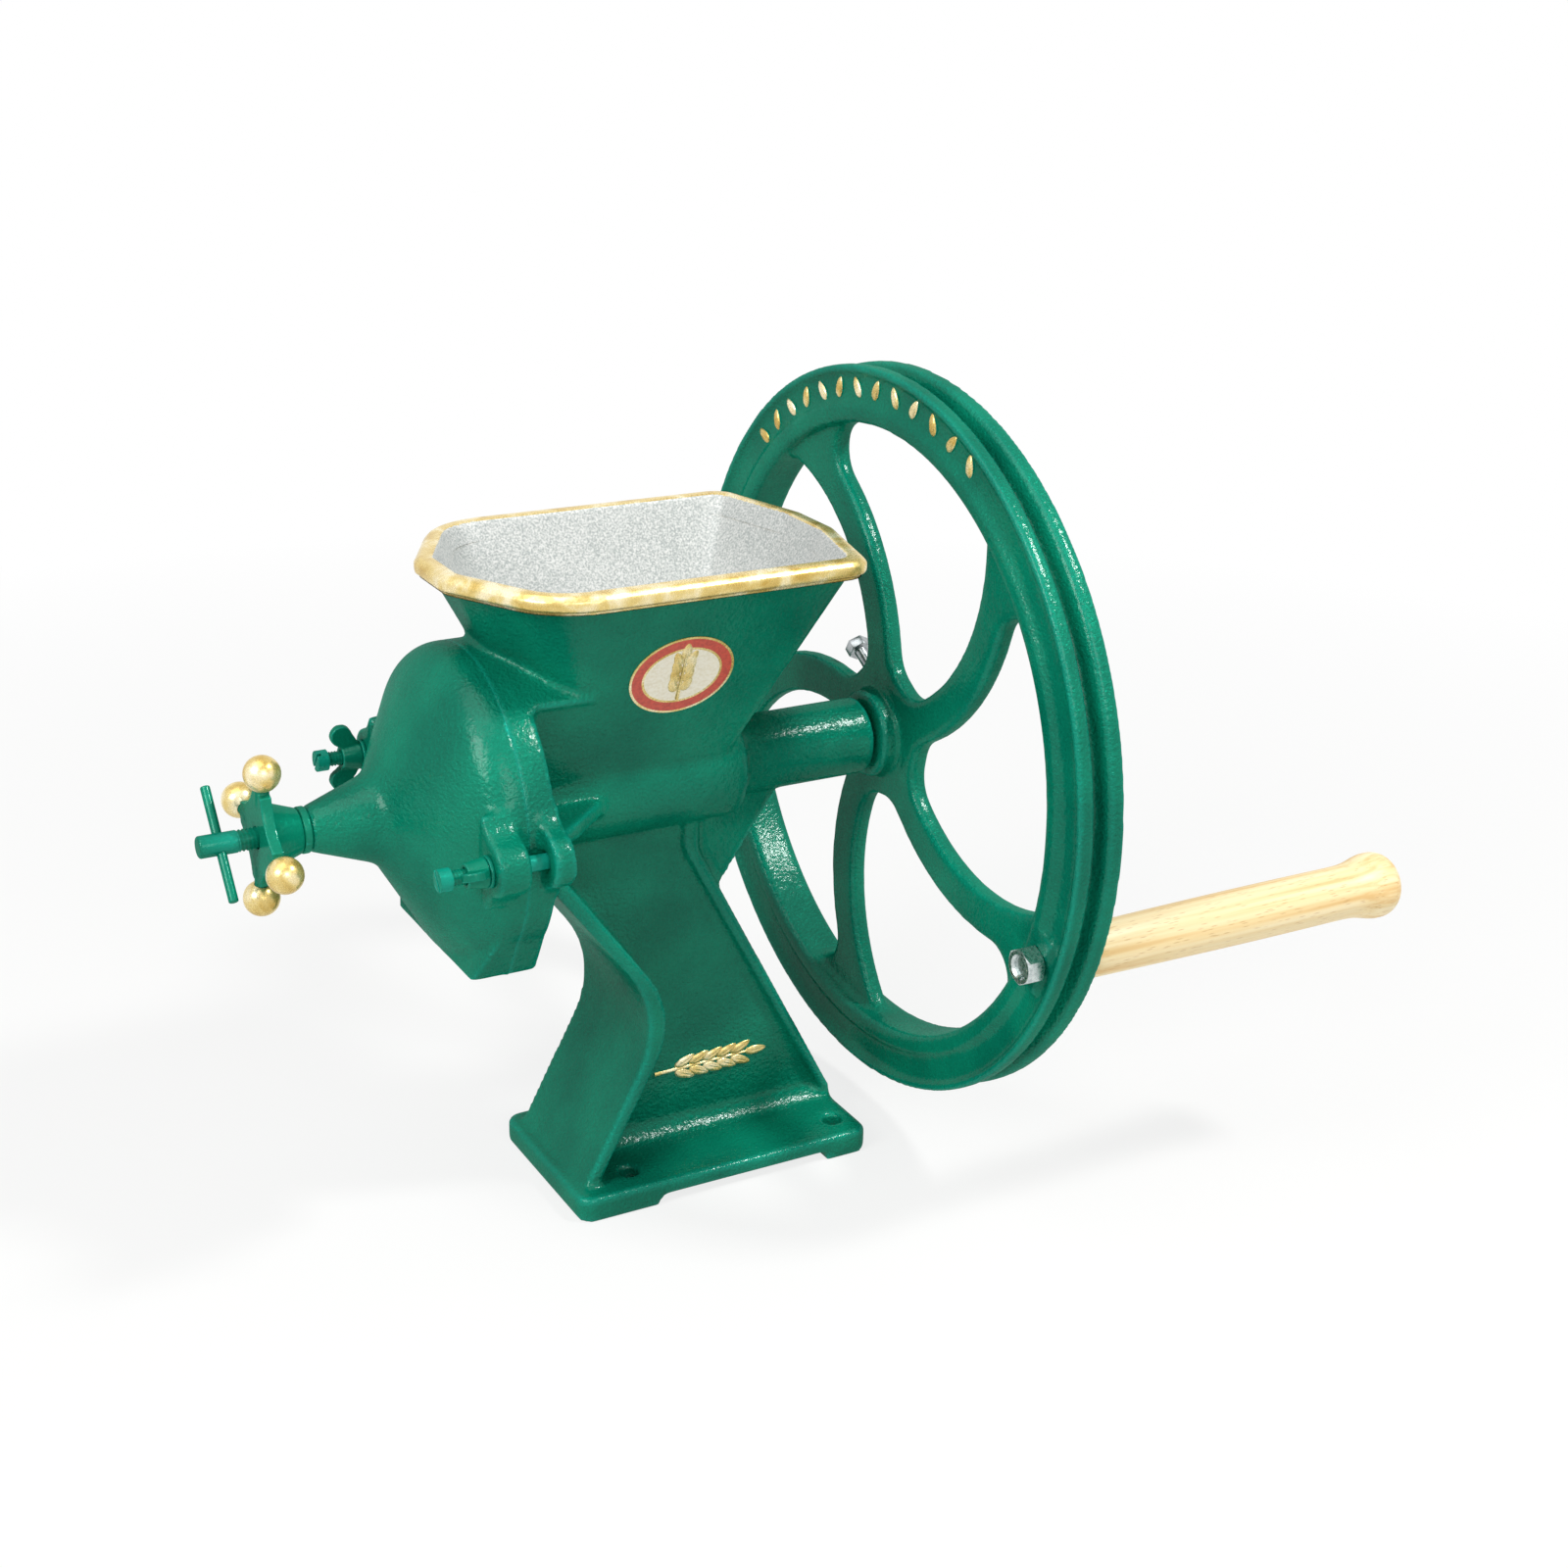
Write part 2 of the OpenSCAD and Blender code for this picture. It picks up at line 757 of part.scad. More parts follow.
module flywheel() {
    bevel = 2.5;
    pad_in = rim_in + 5;
    pad_out = wheel_r - 12;
    pad_len = 40;
    color(enamel)
        difference() {
            union() {
                rim();
                along_x(wheel_mid - spoke_t / 2, spoke_t)
                    spider_outline(bevel);
                along_x(wheel_mid - spoke_t / 2 + bevel, spoke_t - 2 * bevel)
                    spider_outline(0);
                turned()
                    polygon(rounded([[0, hub_x, 0], [hub_r, hub_x, 2], [hub_r, wheel_mid, 0],
                        [hub_r - 6, wheel_mid, 0], [hub_r - 6, hub_end, 3], [0, hub_end, 0]]));
                translate([wheel_x, 0, shaft_h])
                    rotate([grip_a, 0, 0])
                        translate([0, pad_in, -pad_len / 2])
                            cube([wheel_w, pad_out - pad_in, pad_len]);
                at_set_bolt()
                    cylinder(h = set_boss, r = set_boss_r);
            }
            rod(hub_x - over, hub_end - hub_x + 2 * over, shaft_r + drill_fit);
            at_handle()
                rod(wheel_x - over, wheel_w + 2 * over, handle_d / 2 + drill_fit);
            at_set_bolt()
                cylinder(h = set_boss + over, r = set_r + run_fit);
        }
}

// Places children on the radial set bolt behind the spokes, with Z pointing outwards
module at_set_bolt() {
    translate([set_x, 0, shaft_h])
        rotate([set_a - 90, 0, 0])
            children();
}

// A hexagon with two flats along the wheel's face
module set_hexagon(height) {
    rotate(30)
        cylinder(h = height, d = set_af / cos(30), $fn = 6);
}

module set_bolt() {
    color(steel)
        at_set_bolt()
            union() {
                translate([0, 0, shaft_r + lock_gap])
                    cylinder(h = set_head - shaft_r, r = set_r);
                translate([0, 0, set_head])
                    set_hexagon(7);
            }
}

module set_bolt_nut() {
    color(steel)
        at_set_bolt()
            translate([0, 0, set_boss + lock_gap])
                difference() {
                    set_hexagon(8);
                    translate([0, 0, -over])
                        cylinder(h = 8 + 2 * over, r = set_r + run_fit);
                }
}

// Long bolt that clamps to the rim and carries the grip
module handle_bolt() {
    tip = wheel_x - nut_t - 0.5;
    head_x = grip_x + grip_len - grip_sink + grip_gap;
    color(steel)
        at_handle()
            union() {
                rod(tip, head_x - tip + over, handle_d / 2);
                rod(head_x, 5, 0.75 * handle_d);
            }
}

module handle_nut() {
    color(steel)
        at_handle()
            translate([wheel_x - nut_t, 0, shaft_h])
                difference() {
                    hex_rod(nut_t, nut_af);
                    translate([-over, 0, 0])
                        rotate([0, 90, 0])
                            cylinder(h = nut_t + 2 * over, r = handle_d / 2 + run_fit);
                }
}

module handle_washer() {
    color(steel)
        at_handle()
            difference() {
                rod(wheel_x + wheel_w, washer_t, 1.15 * handle_d);
                rod(wheel_x + wheel_w - over, washer_t + 2 * over, handle_d / 2 + run_fit);
            }
}

// Turned grip: a slight swell, a waist and a flared, rounded end
function grip_radius(t) = grip_d / 2 * (0.93 + 0.07 * sin(150 * t)) + 4.2 * exp(-pow((t - 0.95) / 0.06, 2));
module handle_grip() {
    steps = 24;
    stop = 0.95;
    swell = [for (i = [0 : steps]) let (t = stop * i / steps) [grip_radius(t), grip_len * t, 0]];
    end_r = grip_radius(stop);
    color(beech)
        at_handle()
            difference() {
                translate([grip_x, 0, 0])
                    turned()
                        polygon(rounded(concat([[0, 0, 0]], swell, [[end_r, grip_len, 10], [0, grip_len, 0]])));
                rod(grip_x - over, grip_len + 2 * over, handle_d / 2 + loose);
                rod(grip_x + grip_len - grip_sink, grip_sink + over, handle_d);
            }
}

// Adjusting screw, cross drilled for its bar and cupped for the thrust ball
module adjusting_screw() {
    color(enamel)
        difference() {
            turned()
                polygon(rounded([[0, screw_end, 0], [screw_r, screw_end, 1.5], [screw_r, thrust_x - 3, 0],
                    [0, thrust_x - 3, 0]]));
            translate([thrust_x, 0, shaft_h])
                sphere(thrust_r + lock_gap / 2);
            at_bar()
                cylinder(h = bar_len, r = bar_d / 2 + run_fit, center = true);
        }
}

// Places children on the tommy bar's line, with Z along the bar
module at_bar() {
    translate([bar_x, 0, shaft_h])
        rotate([bar_a - 90, 0, 0])
            children();
}

module tommy_bar() {
    soft = 0.8;
    color(enamel)
        at_bar()
            rotate_extrude()
                polygon(rounded([[0, -bar_len / 2, 0], [bar_d / 2, -bar_len / 2, soft], [bar_d / 2, bar_len / 2, soft],
                    [0, bar_len / 2, 0]]));
}

module lock_collar() {
    color(enamel)
        difference() {
            turned()
                polygon(rounded([[screw_r + 1, collar_x, 0], [collar_r, collar_x, 1], [collar_r, collar_x + collar_t, 1],
                    [screw_r + 1, collar_x + collar_t, 0]]));
            rod(collar_x - over, collar_t + 2 * over, screw_r + loose);
        }
}

// Star nut: a plate with four arms between hollow sides, on a coned hub
module star_nut() {
    plate_h = 6.5;
    scoop = 0.85 * star_r;
    scoop_at = 1.38 * star_r;
    arm_end = star_r - ball_d / 2 - 0.6;
    color(enamel)
        difference() {
            union() {
                along_x(star_x - plate_h / 2, plate_h)
                    rotate(star_a)
                        difference() {
                            circle(arm_end);
                            for (i = [0 : 3])
                                rotate(45 + 90 * i)
                                    translate([scoop_at, 0])
                                        circle(scoop);
                        }
                turned()
                    polygon([[0, star_x], [0.5 * star_r, star_x], [collar_r - 0.5, collar_x - lock_gap], [0, collar_x - lock_gap]]);
                for (i = [0 : 3])
                    at_star_arm(i)
                        translate([0, 0, 0.5 * star_r])
                            cylinder(h = 0.55 * star_r, r = stud_r);
            }
            rod(star_x - plate_h, collar_x - star_x + 2 * plate_h, screw_r + thread_fit);
        }
}

// Places children on arm i of the star nut, with Z pointing outwards
module at_star_arm(i) {
    translate([star_x, 0, shaft_h])
        rotate([star_a + 90 * i - 90, 0, 0])
            children();
}

module star_ball(i) {
    color(gold)
        at_star_arm(i)
            difference() {
                translate([0, 0, star_r])
                    sphere(d = ball_d);
                translate([0, 0, 0.5 * star_r])
                    cylinder(h = 0.55 * star_r + lock_gap, r = stud_r + run_fit);
            }
}

module barrel_bush() {
    bush(feed_end, 30);
}

module tube_bush() {
    bush(tube_end - 30, 30);
}

module fixed_burr() {
    burr(stator_face, wall_x, feed_r + 3, 90);
}

module fixed_burr_screws() {
    burr_screws(stator_face + 3, 13, 90);
}

module clamp_bolt_near() {
    clamp_bolt(-1);
}

module clamp_bolt_far() {
    clamp_bolt(1);
}

module clamp_washer_near() {
    clamp_washer(-1);
}

module clamp_washer_far() {
    clamp_washer(1);
}

module wing_nut_near() {
    wing_nut(-1, 70);
}

module wing_nut_far() {
    wing_nut(1, 8);
}

module running_burr() {
    burr(rotor_face, rotor_face - burr_t, shaft_r + 6, 30);
}

module running_burr_screws() {
    burr_screws(rotor_face - burr_t - plate_t, burr_t + plate_t - 3, 30);
}

module star_ball_1() {
    star_ball(0);
}

module star_ball_2() {
    star_ball(1);
}

module star_ball_3() {
    star_ball(2);
}

module star_ball_4() {
    star_ball(3);
}

stand_casting();
mill_body();
hopper();
hopper_rim();
front_cover();
barrel_bush();
tube_bush();
fixed_burr();
fixed_burr_screws();
clamp_bolt_near();
clamp_bolt_far();
clamp_washer_near();
clamp_washer_far();
wing_nut_near();
wing_nut_far();
main_shaft();
feed_screw();
rotor_plate();
rotor_pin();
running_burr();
running_burr_screws();
thrust_ball();
flywheel();
set_bolt();
set_bolt_nut();
handle_bolt();
handle_nut();
handle_washer();
handle_grip();
adjusting_screw();
tommy_bar();
lock_collar();
star_nut();
star_ball_1();
star_ball_2();
star_ball_3();
star_ball_4();
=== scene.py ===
import bpy
import bmesh
import math
from mathutils import Matrix, Vector


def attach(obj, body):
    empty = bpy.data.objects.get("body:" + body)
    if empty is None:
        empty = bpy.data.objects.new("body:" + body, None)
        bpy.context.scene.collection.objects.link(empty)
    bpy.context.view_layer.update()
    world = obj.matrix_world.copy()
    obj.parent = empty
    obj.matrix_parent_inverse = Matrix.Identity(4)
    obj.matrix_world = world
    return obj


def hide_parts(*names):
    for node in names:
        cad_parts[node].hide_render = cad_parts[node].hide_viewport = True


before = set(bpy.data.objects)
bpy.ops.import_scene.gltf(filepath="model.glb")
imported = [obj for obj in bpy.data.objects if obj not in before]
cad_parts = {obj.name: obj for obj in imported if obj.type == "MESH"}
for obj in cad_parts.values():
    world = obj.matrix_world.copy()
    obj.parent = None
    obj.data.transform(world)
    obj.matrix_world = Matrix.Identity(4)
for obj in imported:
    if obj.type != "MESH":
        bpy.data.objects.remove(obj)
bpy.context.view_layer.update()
scene = bpy.context.scene
mm = 0.001
weld = 0.002 * mm  # points closer than this are one point
alongShaft = Vector((1, 0, 0))

# stations shared by several pieces, in mm
mill = {"shaftHeight": 257, "partingX": -154.57, "chamberTopZ": 362, "rimFootZ": 386, "aboveAllZ": 400,
        "clampY": 98.5, "wheelX": 108.5, "handleY": -191.8, "handleZ": 181.84}
shaftAxis = (0, 0, mill["shaftHeight"])
handleAxis = (0, mill["handleY"], mill["handleZ"])
print("frame loaded:", len(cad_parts), "nodes")


def linear(hexColour):  # sRGB hex to linear red, green, blue, alpha
    parts = [int(hexColour[i:i + 2], 16) / 255 for i in (1, 3, 5)]
    return [c / 12.92 if c <= 0.04045 else ((c + 0.055) / 1.055) ** 2.4 for c in parts] + [1]


def addNode(tree, kind, inputs=(), stops=(), **settings):
    node = tree.nodes.new(kind)
    for name, value in settings.items():
        setattr(node, name, value)
    for name, value in dict(inputs).items():
        if isinstance(value, bpy.types.NodeSocket):
            tree.links.new(value, node.inputs[name])
        else:
            node.inputs[name].default_value = value
    for i, (at, colour) in enumerate(stops):
        stop = node.color_ramp.elements[i] if i < 2 else node.color_ramp.elements.new(at)
        stop.position = at
        stop.color = linear(colour)
    return node


def newFinish(name, constants):
    finish = bpy.data.materials.new(name)
    finish.use_nodes = True
    tree = finish.node_tree
    shader = tree.nodes["Principled BSDF"]
    for socket, value in constants.items():
        shader.inputs[socket].default_value = value
    place = addNode(tree, "ShaderNodeTexCoord").outputs["Object"]
    return finish, tree, shader, place


def plug(tree, shader, sockets):
    for name, output in sockets.items():
        tree.links.new(output, shader.inputs[name])


# Enamel sprayed on a sand casting: wet green with teal lights, pebbled by the sand, thinner and paler on convex
# edges, where the paler teal is partly thin paint and partly a painted highlight
enamelLook = {"deep": "#056a54", "usual": "#0a7f64", "thinAndHighlight": "#14a08c", "lights": "#12e0c8",
              "sandMm": 2.0, "swellMm": 5, "cloudMm": 60,
              "sandDepthMm": 1.2, "swellDepthMm": 0.35, "flowDepthMm": 0.25}


def enamelFinish(name, look, sandShare):
    finish, tree, shader, place = newFinish(name, {
        "Metallic": 0.12, "Specular IOR Level": 0, "Specular Tint": linear(look["lights"]),
        "Coat Weight": 0.12, "Coat Roughness": 0.14, "Coat IOR": 1.9})
    cloud = addNode(tree, "ShaderNodeTexNoise", {"Vector": place, "Scale": 1000 / look["cloudMm"], "Detail": 3})
    sand = addNode(tree, "ShaderNodeTexNoise", {"Vector": place, "Scale": 1000 / look["sandMm"], "Detail": 2,
                                                "Roughness": 0.55})
    swell = addNode(tree, "ShaderNodeTexNoise", {"Vector": place, "Scale": 1000 / look["swellMm"], "Detail": 2})
    bend = addNode(tree, "ShaderNodeNewGeometry").outputs["Pointiness"]
    coat = addNode(tree, "ShaderNodeValToRGB", {"Fac": cloud.outputs["Fac"]},
                   stops=[(0.35, look["deep"]), (0.65, look["usual"])])
    # convex edges turn a paler teal: partly thin paint, partly a painted highlight
    edge = addNode(tree, "ShaderNodeMapRange", {"Value": bend, "From Min": 0.515, "From Max": 0.6,
                                                "To Min": 0, "To Max": 0.85})
    colour = addNode(tree, "ShaderNodeMix", {0: edge.outputs[0], 6: coat.outputs["Color"], 7: linear(look["thinAndHighlight"])},
                     data_type="RGBA")
    gloss = addNode(tree, "ShaderNodeMapRange", {"Value": sand.outputs["Fac"], "From Min": 0.3, "From Max": 0.7,
                                                 "To Min": 0.34, "To Max": 0.22})
    waves = addNode(tree, "ShaderNodeBump", {"Height": swell.outputs["Fac"], "Strength": sandShare,
                                             "Distance": look["swellDepthMm"] * mm})
    grit = addNode(tree, "ShaderNodeBump", {"Height": sand.outputs["Fac"], "Strength": sandShare,
                                            "Distance": look["sandDepthMm"] * mm, "Normal": waves.outputs[0]})
    flow = addNode(tree, "ShaderNodeBump", {"Height": sand.outputs["Fac"], "Strength": sandShare,
                                            "Distance": look["flowDepthMm"] * mm, "Normal": waves.outputs[0]})
    plug(tree, shader, {"Base Color": colour.outputs[2], "Roughness": gloss.outputs[0], "Normal": grit.outputs[0],
                        "Coat Normal": flow.outputs[0]})  # the wet coat has levelled over the sand
    return finish


enamelOnCastIron = enamelFinish("enamelOnCastIron", enamelLook, 1.0)
enamelOnSteel = enamelFinish("enamelOnTurnedSteel", enamelLook, 0.25)  # the same paint over turned steel, smoother


# Gold bronze paint laid on by brush: warm metal flakes, uneven gloss, streaks, thin where the casting is rough
goldLook = {"shade": "#c6a555", "usual": "#dfc782", "bright": "#f5e9c4",
            "flakeMm": 1.1, "flakeShare": 0.1, "brushMm": 16, "depthMm": 0.08}


def goldFinish(name, look):
    finish, tree, shader, place = newFinish(name, {"Metallic": 0.6, "Specular IOR Level": 0.3})
    brush = addNode(tree, "ShaderNodeTexNoise", {"Vector": place, "Scale": 1000 / look["brushMm"], "Detail": 4,
                                                 "Distortion": 0.6})
    flake = addNode(tree, "ShaderNodeTexNoise", {"Vector": place, "Scale": 1000 / look["flakeMm"], "Detail": 2})
    tone = addNode(tree, "ShaderNodeMix", {0: look["flakeShare"], 2: brush.outputs["Fac"], 3: flake.outputs["Fac"]},
                   data_type="FLOAT")
    colour = addNode(tree, "ShaderNodeValToRGB", {"Fac": tone.outputs[0]},
                     stops=[(0.34, look["shade"]), (0.5, look["usual"]), (0.66, look["bright"])])
    gloss = addNode(tree, "ShaderNodeMapRange", {"Value": flake.outputs["Fac"], "From Min": 0.3, "From Max": 0.7,
                                                 "To Min": 0.2, "To Max": 0.34})
    grit = addNode(tree, "ShaderNodeBump", {"Height": flake.outputs["Fac"], "Strength": 0.35,
                                            "Distance": look["depthMm"] * mm})
    plug(tree, shader, {"Base Color": colour.outputs["Color"], "Roughness": gloss.outputs[0],
                        "Normal": grit.outputs[0]})
    return finish


goldPaint = goldFinish("goldBronzePaint", goldLook)


# Speckled grey stoving primer left inside the hopper: dry, pale, with dark and light specks of grit
liningLook = {"dark": "#9da2a0", "usual": "#b9bcb9", "pale": "#d2d2cf",
              "speckMm": 1.2, "cloudMm": 35, "depthMm": 0.2}


def liningFinish(name, look):
    finish, tree, shader, place = newFinish(name, {"Metallic": 0.1, "IOR": 1.5, "Specular IOR Level": 0.4})
    speck = addNode(tree, "ShaderNodeTexNoise", {"Vector": place, "Scale": 1000 / look["speckMm"], "Detail": 2})
    cloud = addNode(tree, "ShaderNodeTexNoise", {"Vector": place, "Scale": 1000 / look["cloudMm"], "Detail": 3})
    lift = addNode(tree, "ShaderNodeMapRange", {"Value": cloud.outputs["Fac"], "To Min": -0.08, "To Max": 0.08})
    grain = addNode(tree, "ShaderNodeMath", {0: speck.outputs["Fac"], 1: lift.outputs[0]}, operation="ADD")
    colour = addNode(tree, "ShaderNodeValToRGB", {"Fac": grain.outputs[0]},
                     stops=[(0.36, look["dark"]), (0.5, look["usual"]), (0.66, look["pale"])])
    gloss = addNode(tree, "ShaderNodeMapRange", {"Value": speck.outputs["Fac"], "To Min": 0.62, "To Max": 0.42})
    grit = addNode(tree, "ShaderNodeBump", {"Height": speck.outputs["Fac"], "Strength": 0.7,
                                            "Distance": look["depthMm"] * mm})
    plug(tree, shader, {"Base Color": colour.outputs["Color"], "Roughness": gloss.outputs[0],
                        "Normal": grit.outputs[0]})
    return finish


greyLining = liningFinish("speckledGreyPrimer", liningLook)


# Bare metals: a cloudy tint and tool or plating marks of their own size
metalLooks = {
    "zincPlatedSteel": {"low": "#aab4b4", "high": "#dbe3e1", "rough": (0.2, 0.36), "markMm": 2.0, "depthMm": 0.04},
    "machinedCastIron": {"low": "#4a4947", "high": "#6d6b67", "rough": (0.4, 0.58), "markMm": 1.4, "depthMm": 0.1},
    "drawnSteel": {"low": "#8f9496", "high": "#b9bec0", "rough": (0.22, 0.34), "markMm": 3.0, "depthMm": 0.03},
    "leadedBronze": {"low": "#94693a", "high": "#bd915a", "rough": (0.28, 0.42), "markMm": 1.8, "depthMm": 0.05}}


def metalFinish(name, look):
    finish, tree, shader, place = newFinish(name, {"Metallic": 1})
    mark = addNode(tree, "ShaderNodeTexNoise", {"Vector": place, "Scale": 1000 / look["markMm"], "Detail": 4})
    colour = addNode(tree, "ShaderNodeValToRGB", {"Fac": mark.outputs["Fac"]},
                     stops=[(0.3, look["low"]), (0.7, look["high"])])
    gloss = addNode(tree, "ShaderNodeMapRange", {"Value": mark.outputs["Fac"], "From Min": 0.3, "From Max": 0.7,
                                                 "To Min": look["rough"][0], "To Max": look["rough"][1]})
    grit = addNode(tree, "ShaderNodeBump", {"Height": mark.outputs["Fac"], "Strength": 0.5,
                                            "Distance": look["depthMm"] * mm})
    plug(tree, shader, {"Base Color": colour.outputs["Color"], "Roughness": gloss.outputs[0],
                        "Normal": grit.outputs[0]})
    return finish


zincPlatedSteel = metalFinish("zincPlatedSteel", metalLooks["zincPlatedSteel"])
machinedCastIron = metalFinish("machinedCastIron", metalLooks["machinedCastIron"])
drawnSteel = metalFinish("drawnSteel", metalLooks["drawnSteel"])
leadedBronze = metalFinish("leadedBronze", metalLooks["leadedBronze"])


# Oiled beech turned on a lathe: pale straw, straight growth bands along the grip, short brown flecks, satin gloss
beechLook = {"band": "#e3bd80", "usual": "#f0d7a3", "pale": "#f8e6bd", "fleck": "#c2925a",
             "bandMm": 5, "fleckMm": 1.3, "bandRunMm": 260, "fleckRunMm": 11, "poreDepthMm": 0.2}


def beechFinish(name, look):
    finish, tree, shader, place = newFinish(name, {"IOR": 1.5, "Specular IOR Level": 0.3,
                                                   "Coat Weight": 0.06, "Coat Roughness": 0.3})
    runs = addNode(tree, "ShaderNodeMapping", {"Vector": place, "Scale": (
        1000 / look["bandRunMm"], 1000 / look["bandMm"], 1000 / look["bandMm"])})
    band = addNode(tree, "ShaderNodeTexNoise", {"Vector": runs.outputs[0], "Scale": 1, "Detail": 4,
                                                "Distortion": 0.3})
    dashes = addNode(tree, "ShaderNodeMapping", {"Vector": place, "Scale": (
        1000 / look["fleckRunMm"], 1000 / look["fleckMm"], 1000 / look["fleckMm"])})
    ray = addNode(tree, "ShaderNodeTexVoronoi", {"Vector": dashes.outputs[0], "Scale": 1})
    timber = addNode(tree, "ShaderNodeValToRGB", {"Fac": band.outputs["Fac"]},
                     stops=[(0.34, look["band"]), (0.5, look["usual"]), (0.68, look["pale"])])
    share = addNode(tree, "ShaderNodeMapRange", {"Value": ray.outputs["Distance"], "From Min": 0.1, "From Max": 0.3,
                                                 "To Min": 0.55, "To Max": 0})
    colour = addNode(tree, "ShaderNodeMix", {0: share.outputs[0], 6: timber.outputs["Color"],
                                             7: linear(look["fleck"])}, data_type="RGBA")
    gloss = addNode(tree, "ShaderNodeMapRange", {"Value": band.outputs["Fac"], "To Min": 0.5, "To Max": 0.34})
    pore = addNode(tree, "ShaderNodeBump", {"Height": band.outputs["Fac"], "Strength": 0.35,
                                            "Distance": look["poreDepthMm"] * mm})
    plug(tree, shader, {"Base Color": colour.outputs[2], "Roughness": gloss.outputs[0], "Normal": pore.outputs[0]})
    return finish


oiledBeech = beechFinish("oiledBeech", beechLook)


# Printed transfer under varnish: flat inks with a fine screen grain, on the hopper's near wall
inkLook = {"red": ("#b8321f", "#d1452b"), "cream": ("#efe4cc", "#fbf3e2"), "screenMm": 1.8, "depthMm": 0.12}


def inkFinish(name, look, tones):
    finish, tree, shader, place = newFinish(name, {"IOR": 1.48, "Specular IOR Level": 0.5, "Coat Weight": 0.4,
                                                   "Coat Roughness": 0.15})
    screen = addNode(tree, "ShaderNodeTexNoise", {"Vector": place, "Scale": 1000 / look["screenMm"], "Detail": 3})
    colour = addNode(tree, "ShaderNodeValToRGB", {"Fac": screen.outputs["Fac"]},
                     stops=[(0.35, tones[0]), (0.6, tones[1])])
    gloss = addNode(tree, "ShaderNodeMapRange", {"Value": screen.outputs["Fac"], "To Min": 0.45, "To Max": 0.3})
    grit = addNode(tree, "ShaderNodeBump", {"Height": screen.outputs["Fac"], "Strength": 0.4,
                                            "Distance": look["depthMm"] * mm})
    plug(tree, shader, {"Base Color": colour.outputs["Color"], "Roughness": gloss.outputs[0],
                        "Normal": grit.outputs[0]})
    return finish


redInk = inkFinish("redTransferInk", inkLook, inkLook["red"])
creamInk = inkFinish("creamTransferInk", inkLook, inkLook["cream"])
print("finishes mixed:", len(bpy.data.materials))


def keep(name, shell, body, finishes, nodes=(), crease=35):
    mesh = bpy.data.meshes.new(name)
    shell.to_mesh(mesh)
    shell.free()
    piece = bpy.data.objects.new(name, mesh)
    scene.collection.objects.link(piece)
    for finish in finishes:
        mesh.materials.append(finish)
    mesh.polygons.foreach_set("use_smooth", [True] * len(mesh.polygons))
    mesh.set_sharp_from_angle(angle=math.radians(crease))
    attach(piece, body)
    if nodes:
        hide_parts(*nodes)
    return piece


def mergedCopy(nodes):  # a CAD node's loose triangles, joined to one closed skin
    shell = bmesh.new()
    for node in nodes:
        shell.from_mesh(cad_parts[node].data)
    bmesh.ops.remove_doubles(shell, verts=shell.verts, dist=weld)
    return shell


def fettle(shell, voxelMm, passes):  # the rounded skin that moulding sand and paint leave on a casting
    mesh = bpy.data.meshes.new("rough")
    shell.to_mesh(mesh)
    shell.free()
    rough = bpy.data.objects.new("rough", mesh)
    scene.collection.objects.link(rough)
    skin = rough.modifiers.new("skin", "REMESH")
    skin.mode = "VOXEL"
    skin.voxel_size = voxelMm * mm
    soften = rough.modifiers.new("soften", "SMOOTH")
    soften.factor = 0.5
    soften.iterations = passes
    bpy.context.view_layer.update()
    done = bpy.data.meshes.new_from_object(rough.evaluated_get(bpy.context.evaluated_depsgraph_get()))
    bpy.data.objects.remove(rough)
    bpy.data.meshes.remove(mesh)
    shell = bmesh.new()
    shell.from_mesh(done)
    bpy.data.meshes.remove(done)
    return shell


def ream(shell, point, axis, startMm, endMm, radiusMm, closedTo=0.6):  # opens a bore that the skin has closed in
    centre = Vector(point) * mm
    for v in shell.verts:
        along = (v.co - centre).dot(axis)
        if startMm * mm <= along <= endMm * mm:
            out = v.co - centre - axis * along
            if closedTo * radiusMm * mm < out.length < radiusMm * mm:
                v.co += out.normalized() * (radiusMm * mm - out.length)


def easedCopy(node, widthMm, segments=2, angle=35):  # a CAD node with its sharp edges broken
    shell = mergedCopy([node])
    bmesh.ops.dissolve_limit(shell, angle_limit=math.radians(1), verts=shell.verts, edges=shell.edges)
    sharp = [e for e in shell.edges if len(e.link_faces) == 2 and e.calc_face_angle(0) > math.radians(angle)]
    bmesh.ops.bevel(shell, geom=sharp, offset=widthMm * mm, offset_type="OFFSET", affect="EDGES", segments=segments,
                    profile=0.5, material=-1, clamp_overlap=True)
    return shell


def cutAcross(shell, xMm, **side):  # cuts a turned part off square and closes the end
    bmesh.ops.bisect_plane(shell, geom=shell.verts[:] + shell.edges[:] + shell.faces[:], dist=1e-7,
                           plane_co=(xMm * mm, 0, 0), plane_no=alongShaft, **side)
    bmesh.ops.holes_fill(shell, edges=[e for e in shell.edges if e.is_boundary], sides=0)


def turn(shell, profile, point, axis, steps, ring=False):  # profile is (along, radius) in mm, spun about the axis
    centre = Vector(point) * mm
    side = axis.orthogonal().normalized()
    spots = [shell.verts.new(centre + axis * along * mm + side * radius * mm) for along, radius in profile]
    lines = [shell.edges.new(pair) for pair in zip(spots, spots[1:])]
    if ring:
        lines.append(shell.edges.new((spots[-1], spots[0])))
    before = set(shell.faces)
    bmesh.ops.spin(shell, geom=spots + lines, cent=centre, axis=axis, angle=math.tau, steps=steps, use_merge=True)
    made = [f for f in shell.faces if f not in before]
    corners = list(dict.fromkeys(v for f in made for v in f.verts))
    bmesh.ops.remove_doubles(shell, verts=corners, dist=weld)
    bmesh.ops.recalc_face_normals(shell, faces=[f for f in shell.faces if f not in before])


